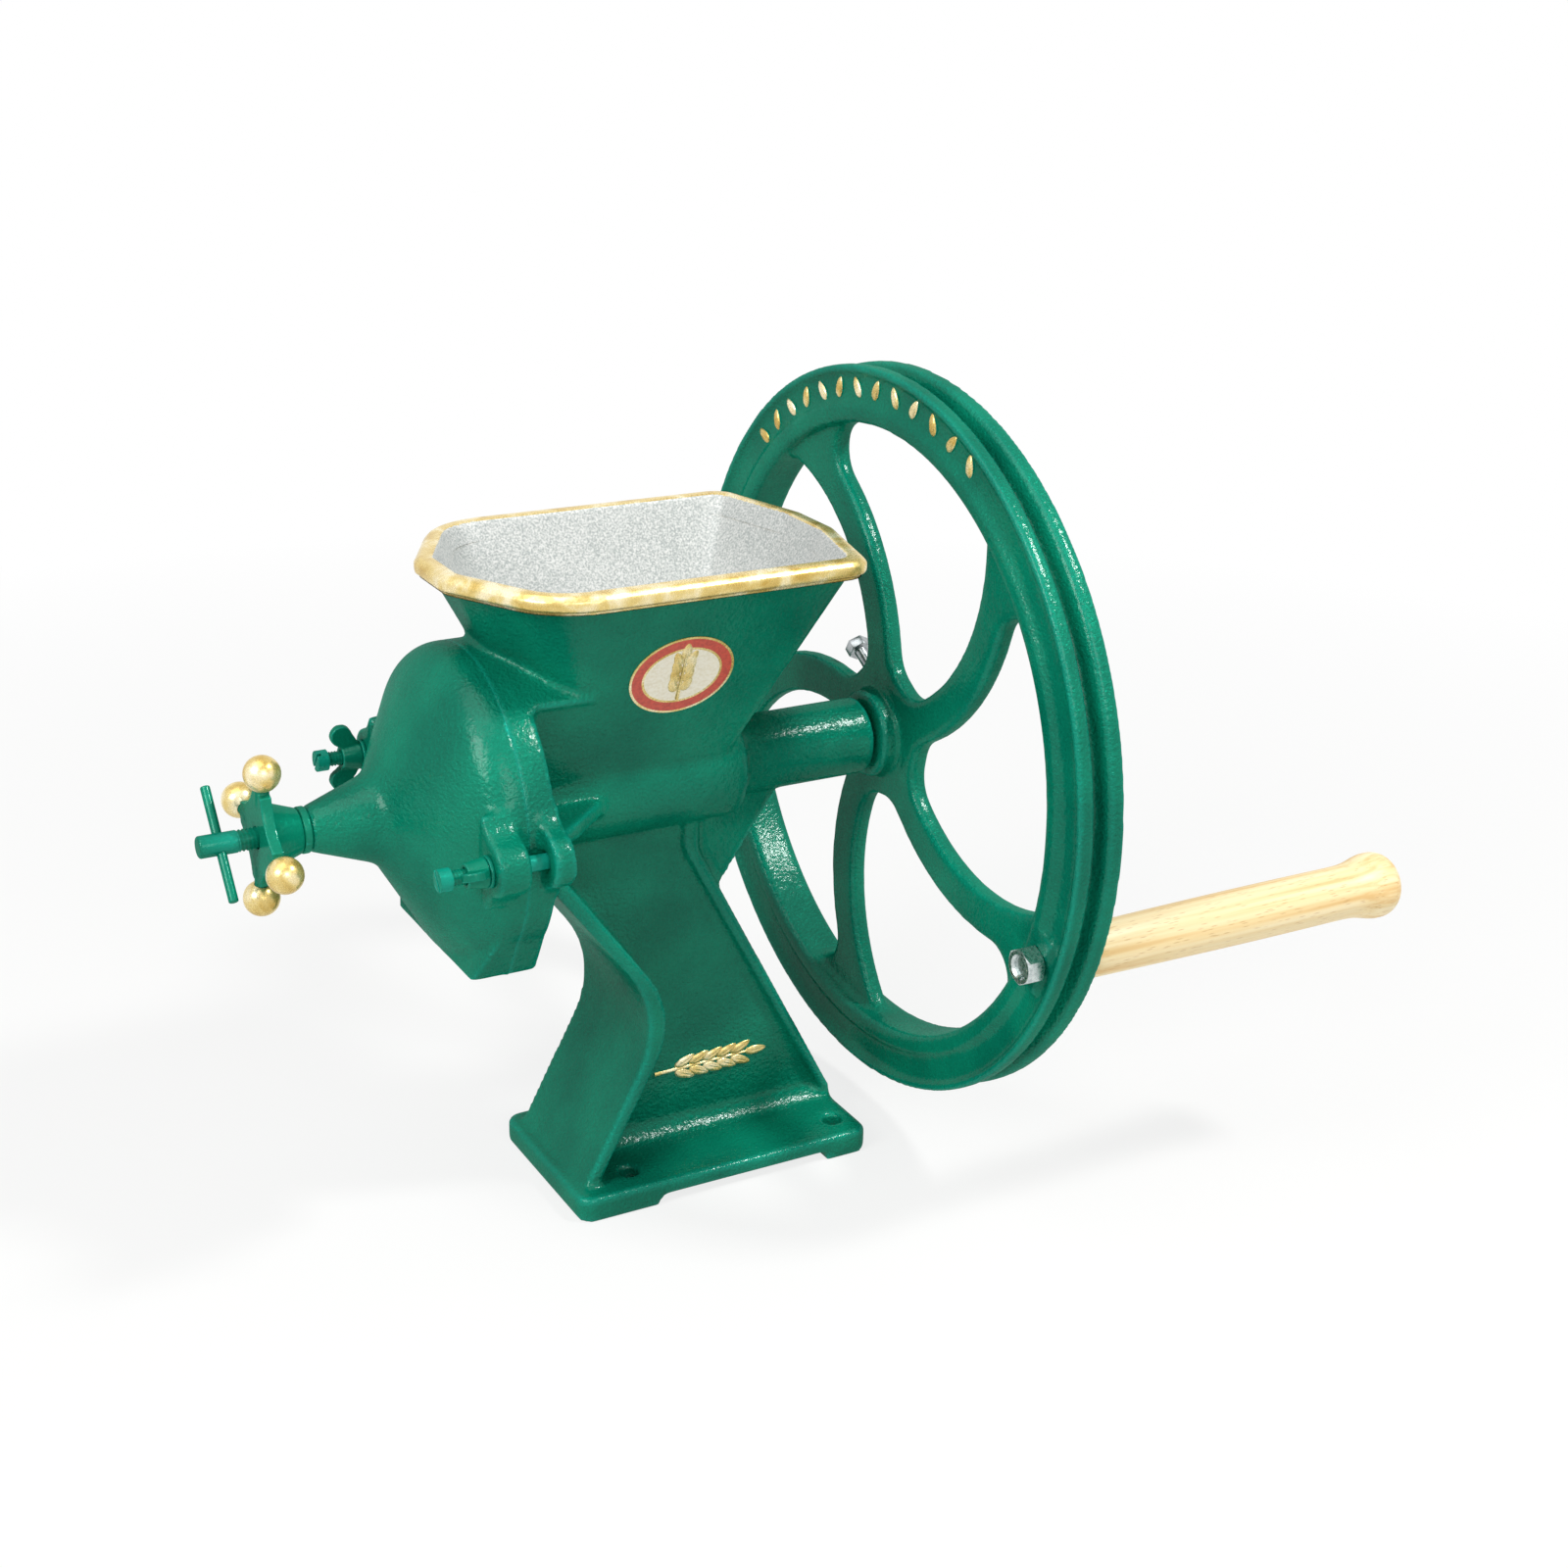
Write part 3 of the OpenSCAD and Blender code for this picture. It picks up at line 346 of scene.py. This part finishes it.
def thread(shell, point, axis, startMm, endMm, look, steps=36):  # a closed rod with a helical thread
    centre = Vector(point) * mm
    side = axis.orthogonal().normalized()
    pitch = look["pitch"]
    before = set(shell.faces)
    spots = []
    for i in range(int((endMm - startMm - pitch) / pitch) * 2 + 1):  # root and crest by turns
        radius = look["radius"] - (look["depth"] if i % 2 == 0 else 0)
        spots.append(shell.verts.new(centre + axis * (startMm + i * pitch / 2) * mm + side * radius * mm))
    lines = [shell.edges.new(pair) for pair in zip(spots, spots[1:])]
    bmesh.ops.spin(shell, geom=spots + lines, cent=centre, axis=axis, dvec=axis * pitch * mm / steps,
                   angle=math.tau, steps=steps, use_merge=False)
    made = [f for f in shell.faces if f not in before]
    corners = list(dict.fromkeys(v for f in made for v in f.verts))
    bmesh.ops.remove_doubles(shell, verts=corners, dist=weld)
    made = [f for f in shell.faces if f not in before]
    rims = list(dict.fromkeys(e for f in made for e in f.edges if e.is_boundary))
    bmesh.ops.holes_fill(shell, edges=rims, sides=0)
    bmesh.ops.recalc_face_normals(shell, faces=[f for f in shell.faces if f not in before])


# The one casting: stand, barrel, rear chamber and hopper, green outside and grey inside the hopper; a bore is its
# start, end and radius
castingLook = {"voxelMm": 2.35, "passes": 5, "hopperAxisX": -50.57, "hopperFloorZ": 268, "hopperTopZ": 389,
               "frontX": -165.07, "rearX": 63.93, "slope": 0.52, "halfTop": 82, "spread": 0.4242, "ledge": 0.2,
               "boltX": 71, "boltY": 38, "boltBore": (1, 14, 6), "clampBore": (-147, -138, 4.6),
               "shaftBore": (-4, 101, 13.6)}
seamLook = {"nearMm": 0.5, "padMm": 4, "gapMm": 0.1, "mergeMm": 0.05}


def leanWith(v, rise):  # keeps a point on the hopper's sloping walls while it moves up or down
    v.co.x += rise * castingLook["slope"] * (1 if v.co.x > castingLook["hopperAxisX"] * mm else -1)
    v.co.y += rise * castingLook["spread"] * (1 if v.co.y > 0 else -1)
    v.co.z += rise


def fettleToSeams(shell, look, seams):  # keeps a fitted joint a hairline; a seam is (axis, mm, inner side, highest z)
    for axis, at, side, top in seams:
        pad = -side * seamLook["padMm"] * mm
        for v in shell.verts:
            if abs(v.co[axis] / mm - at) < seamLook["nearMm"] and v.co.z < top * mm:
                if axis == 2:
                    leanWith(v, pad)
                else:
                    v.co[axis] += pad
    shell = fettle(shell, look["voxelMm"], look["passes"])
    for axis, at, side, top in seams:
        plane = (at + side * (0 if axis == 2 else seamLook["gapMm"])) * mm
        for v in shell.verts:
            if side * (v.co[axis] - plane) < 0 and v.co.z < top * mm:
                if axis == 2:
                    leanWith(v, plane - v.co.z)
                v.co[axis] = plane
        flat = [e for e in shell.edges if all(abs(v.co[axis] - plane) < 0.001 * mm for v in e.verts)]
        bmesh.ops.dissolve_degenerate(shell, dist=seamLook["mergeMm"] * mm, edges=flat)
    return shell


def buildCasting(look):
    nodes = ["stand_casting", "mill_body", "hopper"]
    shell = fettleToSeams(mergedCopy(nodes), look, [(0, mill["partingX"], 1, mill["chamberTopZ"]),
                                                    (2, mill["rimFootZ"], -1, mill["aboveAllZ"])])
    for side in (-1, 1):
        for end in (-1, 1):
            ream(shell, (side * look["boltX"], end * look["boltY"], 0), Vector((0, 0, 1)), *look["boltBore"])
        ream(shell, (0, side * mill["clampY"], mill["shaftHeight"]), alongShaft, *look["clampBore"])
    ream(shell, shaftAxis, alongShaft, *look["shaftBore"])
    for face in shell.faces:
        middle = face.calc_center_median() / mm
        down = look["hopperTopZ"] - middle.z
        inside = (look["frontX"] + look["slope"] * down < middle.x < look["rearX"] - look["slope"] * down
                  and abs(middle.y) < look["halfTop"] - look["spread"] * down)
        inward = face.normal.dot(Vector((look["hopperAxisX"] - middle.x, -middle.y, 0)))
        lined = inside and inward > 0 and middle.z > look["hopperFloorZ"]
        face.material_index = int(lined or middle.z > mill["rimFootZ"] - look["ledge"])
    return keep("millCasting", shell, "mill", [enamelOnCastIron, greyLining], nodes, crease=55)


casting = buildCasting(castingLook)
print("casting:", len(casting.data.polygons), "faces")


# Gilded bead round the hopper's mouth
rimLook = {"voxelMm": 1.3, "passes": 5, "innerSteep": 0.8}


def buildRim(look):
    shell = fettleToSeams(mergedCopy(["hopper_rim"]), look, [(2, mill["rimFootZ"], 1, mill["aboveAllZ"])])
    for face in shell.faces:
        middle = face.calc_center_median() / mm
        inward = face.normal.dot(Vector((castingLook["hopperAxisX"] - middle.x, -middle.y, 0)))
        face.material_index = int(inward > 0 and abs(face.normal.z) < look["innerSteep"])
    return keep("hopperRim", shell, "mill", [goldPaint, greyLining], ["hopper_rim"], crease=55)


rim = buildRim(rimLook)
print("hopper rim:", len(rim.data.polygons), "faces")


# Front cover with its neck, flare and flour chute
coverLook = {"voxelMm": 1.5, "passes": 5, "earFromY": 70, "earHalfZ": 42, "mouthDeep": 20, "extraPasses": 14,
             "faceKept": 1, "neckBore": (-248.57, -205, 6.5), "clampBore": (-181, -160, 5)}


def buildCover(look):
    shell = fettleToSeams(mergedCopy(["front_cover"]), look, [(0, mill["partingX"], -1, mill["chamberTopZ"])])
    low = min(v.co.z for v in shell.verts) + look["mouthDeep"] * mm
    cast = [v for v in shell.verts if v.co.x < (mill["partingX"] - look["faceKept"]) * mm
            and (v.co.z < low or abs(v.co.y) > look["earFromY"] * mm
                 and abs(v.co.z - mill["shaftHeight"] * mm) < look["earHalfZ"] * mm)]
    for _ in range(look["extraPasses"]):  # runs the ears into the shoulder and rounds the corners of the chute
        bmesh.ops.smooth_vert(shell, verts=cast, factor=0.5, use_axis_x=True, use_axis_y=True, use_axis_z=True)
    ream(shell, shaftAxis, alongShaft, *look["neckBore"])
    for side in (-1, 1):
        ream(shell, (0, side * mill["clampY"], mill["shaftHeight"]), alongShaft, *look["clampBore"])
    return keep("frontCover", shell, "mill", [enamelOnCastIron], ["front_cover"], crease=55)


cover = buildCover(coverLook)
print("front cover:", len(cover.data.polygons), "faces")


# Flywheel casting
wheelLook = {"voxelMm": 1.95, "passes": 9, "shaftBore": (105, 146, 10.05), "handleBore": (108, 140, 6.1)}


def buildWheel(look):
    shell = fettle(mergedCopy(["flywheel"]), look["voxelMm"], look["passes"])
    ream(shell, shaftAxis, alongShaft, *look["shaftBore"])
    ream(shell, handleAxis, alongShaft, *look["handleBore"])
    return keep("flywheelCasting", shell, "crank", [enamelOnCastIron], ["flywheel"], crease=80)


wheel = buildWheel(wheelLook)
print("flywheel:", len(wheel.data.polygons), "faces")


# Star nut with its four gilded balls, and the lock collar behind it
starLook = {"voxelMm": 0.7, "passes": 4, "bore": (-276, -252, 6.4), "angle": 11, "x": -272.57,
            "ballAt": 40, "ballRadius": 10.25, "ballSteps": 28, "studRadius": 4.2, "studSunk": 1.5,
            "collarEdge": 0.5}


def buildStar(look):
    shell = fettle(mergedCopy(["star_nut"]), look["voxelMm"], look["passes"])
    ream(shell, shaftAxis, alongShaft, *look["bore"])
    keep("starNut", shell, "star", [enamelOnSteel], ["star_nut"], crease=60)
    radius, steps = look["ballRadius"], look["ballSteps"]
    start = math.asin(look["studRadius"] / radius)
    arc = [start + (math.pi - start) * k / steps for k in range(steps + 1)]
    profile = [(look["ballAt"] - radius * math.cos(a), radius * math.sin(a)) for a in arc]
    foot = profile[0][0] + look["studSunk"]
    profile = [(foot, 0), (foot, look["studRadius"])] + profile
    for i in range(4):
        angle = math.radians(look["angle"] + 90 * i)
        out = Vector((0, math.cos(angle), math.sin(angle)))
        shell = bmesh.new()
        turn(shell, profile, (look["x"], 0, mill["shaftHeight"]), out, 2 * steps)
        keep("starBall" + str(i + 1), shell, "star", [goldPaint], ["star_ball_" + str(i + 1)])
    keep("lockCollar", easedCopy("lock_collar", look["collarEdge"]), "collar", [enamelOnSteel],
         ["lock_collar"])


buildStar(starLook)
print("star nut and collar done")


# Adjusting screw with a cut thread, and its tommy bar
screwLook = {"threadFromX": -287, "threadToX": -205, "overlap": 1, "radius": 6.2, "pitch": 2.2, "depth": 0.95,
             "edge": 0.5, "barEdge": 0.35}


def buildScrew(look):
    shell = easedCopy("adjusting_screw", look["edge"])
    cutAcross(shell, look["threadFromX"], clear_outer=True)
    thread(shell, shaftAxis, alongShaft, look["threadFromX"] - look["overlap"], look["threadToX"], look)
    keep("adjustingScrew", shell, "adjuster", [enamelOnSteel], ["adjusting_screw"])
    keep("tommyBar", easedCopy("tommy_bar", look["barEdge"], 3), "adjuster", [enamelOnSteel],
         ["tommy_bar"])


buildScrew(screwLook)
print("adjusting screw done")


# Clamp bolts with slotted heads and a cut thread, their washers and wing nuts
clampLook = {"headEndX": -202.6, "headKept": 0.2, "threadToX": -178, "overlap": 1,
             "radius": 4.45, "pitch": 1.8, "depth": 0.75, "edge": 0.45, "washerEdge": 0.35,
             "shank": [(-181, 0), (-181, 4.4), (-135.6, 4.4), (-134.7, 3.2), (-134.6, 0)], "shankSteps": 40,
             "wingVoxelMm": 0.55, "wingPasses": 4, "wingBore": (-196, -182, 4.5)}


def buildClamp(look, side, word):
    shell = easedCopy("clamp_bolt_" + word, look["edge"])
    cutAcross(shell, look["headEndX"] - look["headKept"], clear_outer=True)
    point = (0, side * mill["clampY"], mill["shaftHeight"])
    thread(shell, point, alongShaft, look["headEndX"] - look["overlap"], look["threadToX"], look)
    turn(shell, look["shank"], point, alongShaft, look["shankSteps"])
    keep("clampBolt" + word.title(), shell, "mill", [enamelOnSteel], ["clamp_bolt_" + word])
    keep("clampWasher" + word.title(), easedCopy("clamp_washer_" + word, look["washerEdge"]), "washer_" + word,
         [enamelOnSteel], ["clamp_washer_" + word])
    shell = fettle(mergedCopy(["wing_nut_" + word]), look["wingVoxelMm"], look["wingPasses"])
    ream(shell, point, alongShaft, *look["wingBore"])
    keep("wingNut" + word.title(), shell, "wing_" + word, [enamelOnSteel], ["wing_nut_" + word],
         crease=70)


buildClamp(clampLook, -1, "near")
buildClamp(clampLook, 1, "far")
print("clamps done")


# Plated hardware of the handle, and the plain steel set bolt
hardwareLook = {"flats": 20, "height": 11, "bore": 6.05, "sink": 1.3, "endShare": 0.485, "chamferSlope": 0.577,
                "steps": 72, "tipSunk": 2.4, "washerEdge": 0.4, "boltEdge": 0.8, "setBoltEdge": 0.5}


def hexNut(shell, point, axis, cornerDir, look):  # chamfered hexagon, hole countersunk
    centre = Vector(point) * mm
    across = axis.cross(cornerDir)
    steps, height, bore, sink = look["steps"], look["height"], look["bore"], look["sink"]
    rings = []
    for i in range(steps):
        angle = math.tau * i / steps
        out = cornerDir * math.cos(angle) + across * math.sin(angle)
        hexRadius = look["flats"] / 2 / math.cos(math.radians((360 * i / steps) % 60 - 30))
        endRadius = min(hexRadius, look["flats"] * look["endShare"])
        chamfer = (hexRadius - endRadius) * look["chamferSlope"]
        line = [(0, endRadius), (chamfer, hexRadius), (height - chamfer, hexRadius), (height, endRadius),
                (height, bore + sink), (height - sink, bore), (sink, bore), (0, bore + sink)]
        rings.append([shell.verts.new(centre + (axis * along + out * radius) * mm) for along, radius in line])
    for i, ring in enumerate(rings):
        after = rings[(i + 1) % steps]
        for k in range(len(ring)):
            up = (k + 1) % len(ring)
            shell.faces.new((ring[k], after[k], after[up], ring[up]))
    bmesh.ops.recalc_face_normals(shell, faces=shell.faces)


def buildHardware(look):
    front = mill["wheelX"] - look["height"]
    shell = bmesh.new()
    hexNut(shell, (front, mill["handleY"], mill["handleZ"]), alongShaft, Vector((0, 0, 1)), look)
    keep("handleNut", shell, "crank", [zincPlatedSteel], ["handle_nut"], crease=20)
    keep("handleWasher", easedCopy("handle_washer", look["washerEdge"]), "crank", [zincPlatedSteel],
         ["handle_washer"])
    shell = easedCopy("handle_bolt", look["boltEdge"], 3)
    cutAcross(shell, front + look["tipSunk"], clear_inner=True)
    keep("handleBolt", shell, "crank", [zincPlatedSteel], ["handle_bolt"])
    for name, node in (("setBolt", "set_bolt"), ("setBoltNut", "set_bolt_nut")):
        keep(name, easedCopy(node, look["setBoltEdge"]), "crank", [drawnSteel], [node])


buildHardware(hardwareLook)
print("hardware done")


# Turned beech grip: slight swell, waist and flared end, bored through and counterbored for the bolt head
gripLook = {"startX": 142, "length": 225.8, "radius": 16.5, "waist": 0.93, "swell": 0.07, "swellTurn": 150,
            "flare": 4.2, "flareAt": 0.95, "flareWide": 0.06, "sideEnd": 0.955, "sideSteps": 60, "startEase": 0.8,
            "endRound": 10, "endDrop": 0.72, "endSteps": 12, "bore": 6.4, "sinkRadius": 12, "sink": 14, "steps": 96}


def buildGrip(look):
    profile = [(look["startX"], look["bore"])]
    for i in range(look["sideSteps"] + 1):
        share = look["sideEnd"] * i / look["sideSteps"]
        radius = look["radius"] * (look["waist"] + look["swell"] * math.sin(math.radians(look["swellTurn"] * share)))
        radius += look["flare"] * math.exp(-((share - look["flareAt"]) / look["flareWide"]) ** 2)
        profile.append((look["startX"] + look["length"] * share, radius - (look["startEase"] if i == 0 else 0)))
    endX = look["startX"] + look["length"]
    last = profile[-1][1]
    for i in range(1, look["endSteps"] + 1):
        angle = math.pi / 2 * i / look["endSteps"]
        profile.append((endX - look["endRound"] * (1 - math.sin(angle)),
                        last - look["endRound"] * look["endDrop"] * (1 - math.cos(angle))))
    sinkX = endX - look["sink"]
    profile += [(endX - 0.3, look["sinkRadius"] + 0.6), (endX - 1, look["sinkRadius"]),  # the hole's edge is eased
                (sinkX, look["sinkRadius"]), (sinkX, look["bore"])]
    shell = bmesh.new()
    turn(shell, profile, handleAxis, alongShaft, look["steps"], ring=True)
    keep("beechGrip", shell, "grip", [oiledBeech], ["handle_grip"], crease=40)


buildGrip(gripLook)
print("grip turned")


# Raised grain ornament: ears of wheat and single kernels, gilded on top like the rest of the raised work
ornamentLook = {"webX": -3, "webZ": 58, "webFace": 5, "webLength": 78, "webRise": 0.02, "kernel": (15, 6.4, 2.0),
                "pairs": 5, "wheelRadius": 211.5, "wheelFrom": 48, "wheelTo": 117, "wheelCount": 13,
                "wheelKernel": (14, 7, 2.2), "wheelTilt": 0.45, "panelX": 112.5, "gildFrom": 0.45}
kernelLook = {"taper": 0.28, "crease": 0.3, "creaseSharp": 4, "creaseFrom": 0.1}
earLook = {"stem": 0.9, "stemFoot": 0.2, "stemTip": 0.12, "lowest": -0.18, "reach": 0.5, "apart": 0.72, "splay": 0.42,
           "tip": 0.46}  # shares of the ear's length and of a kernel's width


def kernel(shell, place, size):  # one grain of wheat with its crease, lying on the XY plane of place
    made = bmesh.ops.create_uvsphere(shell, u_segments=14, v_segments=10, radius=1)
    for v in made["verts"]:
        taper = 1 - kernelLook["taper"] * v.co.x
        crease = kernelLook["crease"] * max(0, 1 - abs(v.co.y) * kernelLook["creaseSharp"])
        if v.co.z <= kernelLook["creaseFrom"]:
            crease = 0
        v.co = Vector((v.co.x * size[0] / 2, v.co.y * size[1] / 2 * taper, (v.co.z - crease) * size[2])) * mm
    bmesh.ops.transform(shell, matrix=place, verts=made["verts"])


def frameAt(point, along, out):  # a place whose X runs along and whose Z points out
    x = Vector(along).normalized()
    z = Vector(out).normalized()
    return Matrix.Translation(Vector(point) * mm) @ Matrix((x, z.cross(x), z)).transposed().to_4x4()


def gildTops(shell, out, steepest):
    shell.normal_update()
    for face in shell.faces:
        face.material_index = int(face.normal.dot(out) > steepest)


def wheatEar(shell, point, along, out, lengthMm, pairs, size):
    along, out = Vector(along), Vector(out)
    across = out.cross(along)
    wide = size[1] * mm
    stem = bmesh.ops.create_cone(shell, cap_ends=True, segments=10, radius1=wide * earLook["stemFoot"],
                                 radius2=wide * earLook["stemTip"], depth=lengthMm * earLook["stem"] * mm)
    bmesh.ops.transform(shell, verts=stem["verts"], matrix=frameAt(point, across, along))
    for i in range(pairs):
        at = earLook["lowest"] + earLook["reach"] * i / (pairs - 1)
        for side in (-1, 1):
            spot = Vector(point) + along * at * lengthMm + across * side * size[1] * earLook["apart"]
            kernel(shell, frameAt(spot, along + across * side * earLook["splay"], out), size)
    kernel(shell, frameAt(Vector(point) + along * earLook["tip"] * lengthMm, along, out), size)


def buildOrnament(look):
    for side, word in ((-1, "Near"), (1, "Far")):
        shell = bmesh.new()
        wheatEar(shell, (look["webX"], side * look["webFace"], look["webZ"]), (1, 0, look["webRise"]), (0, side, 0),
                 look["webLength"], look["pairs"], look["kernel"])
        gildTops(shell, Vector((0, side, 0)), look["gildFrom"])
        keep("webOrnament" + word, shell, "mill", [enamelOnCastIron, goldPaint])
    shell = bmesh.new()
    spacing = (look["wheelTo"] - look["wheelFrom"]) / (look["wheelCount"] - 1)
    for i in range(look["wheelCount"]):
        angle = math.radians(look["wheelFrom"] + spacing * i)
        out = Vector((0, math.cos(angle), math.sin(angle)))
        around = Vector((0, -math.sin(angle), math.cos(angle)))
        spot = Vector((look["panelX"], 0, mill["shaftHeight"])) + out * look["wheelRadius"]
        tilt = look["wheelTilt"] if i % 2 else -look["wheelTilt"]
        kernel(shell, frameAt(spot, out + around * tilt, (-1, 0, 0)), look["wheelKernel"])
    gildTops(shell, Vector((-1, 0, 0)), look["gildFrom"])
    keep("wheelOrnament", shell, "crank", [enamelOnCastIron, goldPaint])


buildOrnament(ornamentLook)
print("ornament done")


# Plain oval transfer on the near wall: red border, cream field and a gold ear
badgeLook = {"x": -48, "z": 335.5, "width": 64, "height": 54, "thick": 0.5, "border": 6, "line": 1.4,
             "earLength": 38, "earPairs": 4, "earKernel": (10.5, 6, 0.6)}


def buildBadge(look):
    slope = castingLook["spread"]
    y = -(castingLook["halfTop"] - slope * (castingLook["hopperTopZ"] - look["z"]))
    out = Vector((0, -1, -slope)).normalized()
    place = frameAt((look["x"], y, look["z"]), (1, 0, 0), out)
    shell = bmesh.new()
    bmesh.ops.create_circle(shell, cap_ends=True, segments=72, radius=1)
    bmesh.ops.scale(shell, vec=(look["width"] / 2 * mm, look["height"] / 2 * mm, 1), verts=shell.verts)
    raised = bmesh.ops.extrude_face_region(shell, geom=shell.faces[:])["geom"]
    bmesh.ops.translate(shell, vec=(0, 0, look["thick"] * mm),
                        verts=[v for v in raised if isinstance(v, bmesh.types.BMVert)])
    top = next(f for f in raised if isinstance(f, bmesh.types.BMFace))
    red, cream, gold = range(3)
    for face in shell.faces:
        face.material_index = gold
    for width, ink in ((look["line"], gold), (look["border"], red), (look["line"], gold)):
        ring = bmesh.ops.inset_region(shell, faces=[top], thickness=width * mm, use_even_offset=True)["faces"]
        for face in ring:
            face.material_index = ink
    top.material_index = cream
    bmesh.ops.transform(shell, matrix=place, verts=shell.verts)
    bmesh.ops.recalc_face_normals(shell, faces=shell.faces)
    keep("badgePlate", shell, "mill", [redInk, creamInk, goldPaint])
    shell = bmesh.new()
    up = out.cross(Vector((1, 0, 0)))
    spot = Vector((look["x"], y, look["z"])) + out * look["thick"]
    wheatEar(shell, spot, up, out, look["earLength"], look["earPairs"], look["earKernel"])
    keep("badgeEar", shell, "mill", [goldPaint])


buildBadge(badgeLook)
print("badge done")


# CAD nodes that stay as they are get the finish of what they are
nodeFinishes = {"barrel_bush": leadedBronze, "tube_bush": leadedBronze, "fixed_burr": machinedCastIron,
                "running_burr": machinedCastIron, "rotor_plate": machinedCastIron, "feed_screw": machinedCastIron,
                "main_shaft": drawnSteel, "thrust_ball": drawnSteel, "rotor_pin": drawnSteel,
                "fixed_burr_screws": drawnSteel, "running_burr_screws": drawnSteel}
for node, finish in nodeFinishes.items():
    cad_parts[node].data.materials.clear()
    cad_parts[node].data.materials.append(finish)
print("inner parts finished")


# Pale floor that keeps the shadow, white world behind it, and soft boxes above, in front and on the near side; a box
# is its name, place, aim, size and watts
studioLook = {"floorSize": 80, "floorTone": "#e6e6e3", "whiteNear": 0.8, "whiteFrom": 0.5, "whiteTo": 1.5,
              "worldTone": "#e8f0f2", "worldFill": 0.15,
              "boxes": [("keyBox", (1.05, -0.85, 1.95), (0, 0, 0.25), 0.28, 34),
                        ("topBox", (-0.8, -0.1, 2.2), (-0.05, 0, 0.25), 1.5, 14),
                        ("nearBox", (-0.3, -2.5, 1.7), (0, 0, 0.2), 1.2, 18),
                        ("frontBox", (-2.3, -0.7, 1.8), (0, 0, 0.25), 1.2, 48)]}


def shownDirectly(tree):  # 1 for what the camera sees, straight or in metal and glass, and 0 for what lights the mill
    path = addNode(tree, "ShaderNodeLightPath")
    seen = addNode(tree, "ShaderNodeMath", {0: path.outputs["Is Camera Ray"], 1: path.outputs["Is Glossy Ray"]},
                   operation="MAXIMUM")
    return addNode(tree, "ShaderNodeMath", {0: seen.outputs[0], 1: path.outputs["Is Transmission Ray"]},
                   operation="MAXIMUM").outputs[0]


def buildStudio(look):
    shell = bmesh.new()
    bmesh.ops.create_grid(shell, x_segments=1, y_segments=1, size=look["floorSize"] / 2)
    mesh = bpy.data.meshes.new("floor")
    shell.to_mesh(mesh)
    shell.free()
    floor = bpy.data.objects.new("floor", mesh)
    scene.collection.objects.link(floor)
    paper = bpy.data.materials.new("paleFloor")
    paper.use_nodes = True
    tree = paper.node_tree
    tree.nodes.clear()
    spot = addNode(tree, "ShaderNodeTexCoord").outputs["Object"]
    away = addNode(tree, "ShaderNodeVectorMath", {0: spot}, operation="LENGTH")
    white = addNode(tree, "ShaderNodeMapRange", {"Value": away.outputs["Value"], "From Min": look["whiteFrom"],
                                                 "From Max": look["whiteTo"], "To Min": look["whiteNear"],
                                                 "To Max": 1})
    share = addNode(tree, "ShaderNodeMath", {0: shownDirectly(tree), 1: white.outputs[0]}, operation="MULTIPLY")
    matt = addNode(tree, "ShaderNodeBsdfDiffuse", {"Color": linear(look["floorTone"])})
    glow = addNode(tree, "ShaderNodeEmission", {"Color": (1, 1, 1, 1), "Strength": 1})
    mix = addNode(tree, "ShaderNodeMixShader", {0: share.outputs[0], 1: matt.outputs[0], 2: glow.outputs[0]})
    addNode(tree, "ShaderNodeOutputMaterial", {"Surface": mix.outputs[0]})
    mesh.materials.append(paper)

    world = bpy.data.worlds.new("studio")
    scene.world = world
    world.use_nodes = True
    tree = world.node_tree
    tree.nodes.clear()
    fill = addNode(tree, "ShaderNodeBackground", {"Color": linear(look["worldTone"]), "Strength": look["worldFill"]})
    white = addNode(tree, "ShaderNodeBackground", {"Color": (1, 1, 1, 1), "Strength": 1})
    mix = addNode(tree, "ShaderNodeMixShader", {0: shownDirectly(tree), 1: fill.outputs[0], 2: white.outputs[0]})
    addNode(tree, "ShaderNodeOutputWorld", {"Surface": mix.outputs[0]})

    for name, place, aim, size, watts in look["boxes"]:
        lamp = bpy.data.lights.new(name, "AREA")
        lamp.shape = "SQUARE"
        lamp.size = size
        lamp.energy = watts
        box = bpy.data.objects.new(name, lamp)
        box.location = place
        box.rotation_euler = (Vector(aim) - Vector(place)).to_track_quat("-Z", "Y").to_euler()
        scene.collection.objects.link(box)


buildStudio(studioLook)
scene.view_settings.view_transform = "Standard"


# Camera at the photograph's place, in mm and degrees, for a square frame
cameraLook = {"place": (-603.83, -1161.87, 749.13), "aim": (52.2, 0, 232.82), "roll": 1.29, "lens": 53.83,
              "sensor": 36, "clipEndM": 200}


def buildCamera(look):
    lens = bpy.data.cameras.new("camera")
    lens.lens = look["lens"]
    lens.sensor_width = look["sensor"]
    lens.clip_end = look["clipEndM"]
    eye = bpy.data.objects.new("camera", lens)
    scene.collection.objects.link(eye)
    place = Vector(look["place"]) * mm
    ahead = (Vector(look["aim"]) * mm - place).normalized()
    level = ahead.cross(Vector((0, 0, 1))).normalized()
    right = Matrix.Rotation(math.radians(-look["roll"]), 3, ahead) @ level
    up = right.cross(ahead)
    eye.matrix_world = Matrix.Translation(place) @ Matrix((right, up, -ahead)).transposed().to_4x4()
    scene.camera = eye


buildCamera(cameraLook)
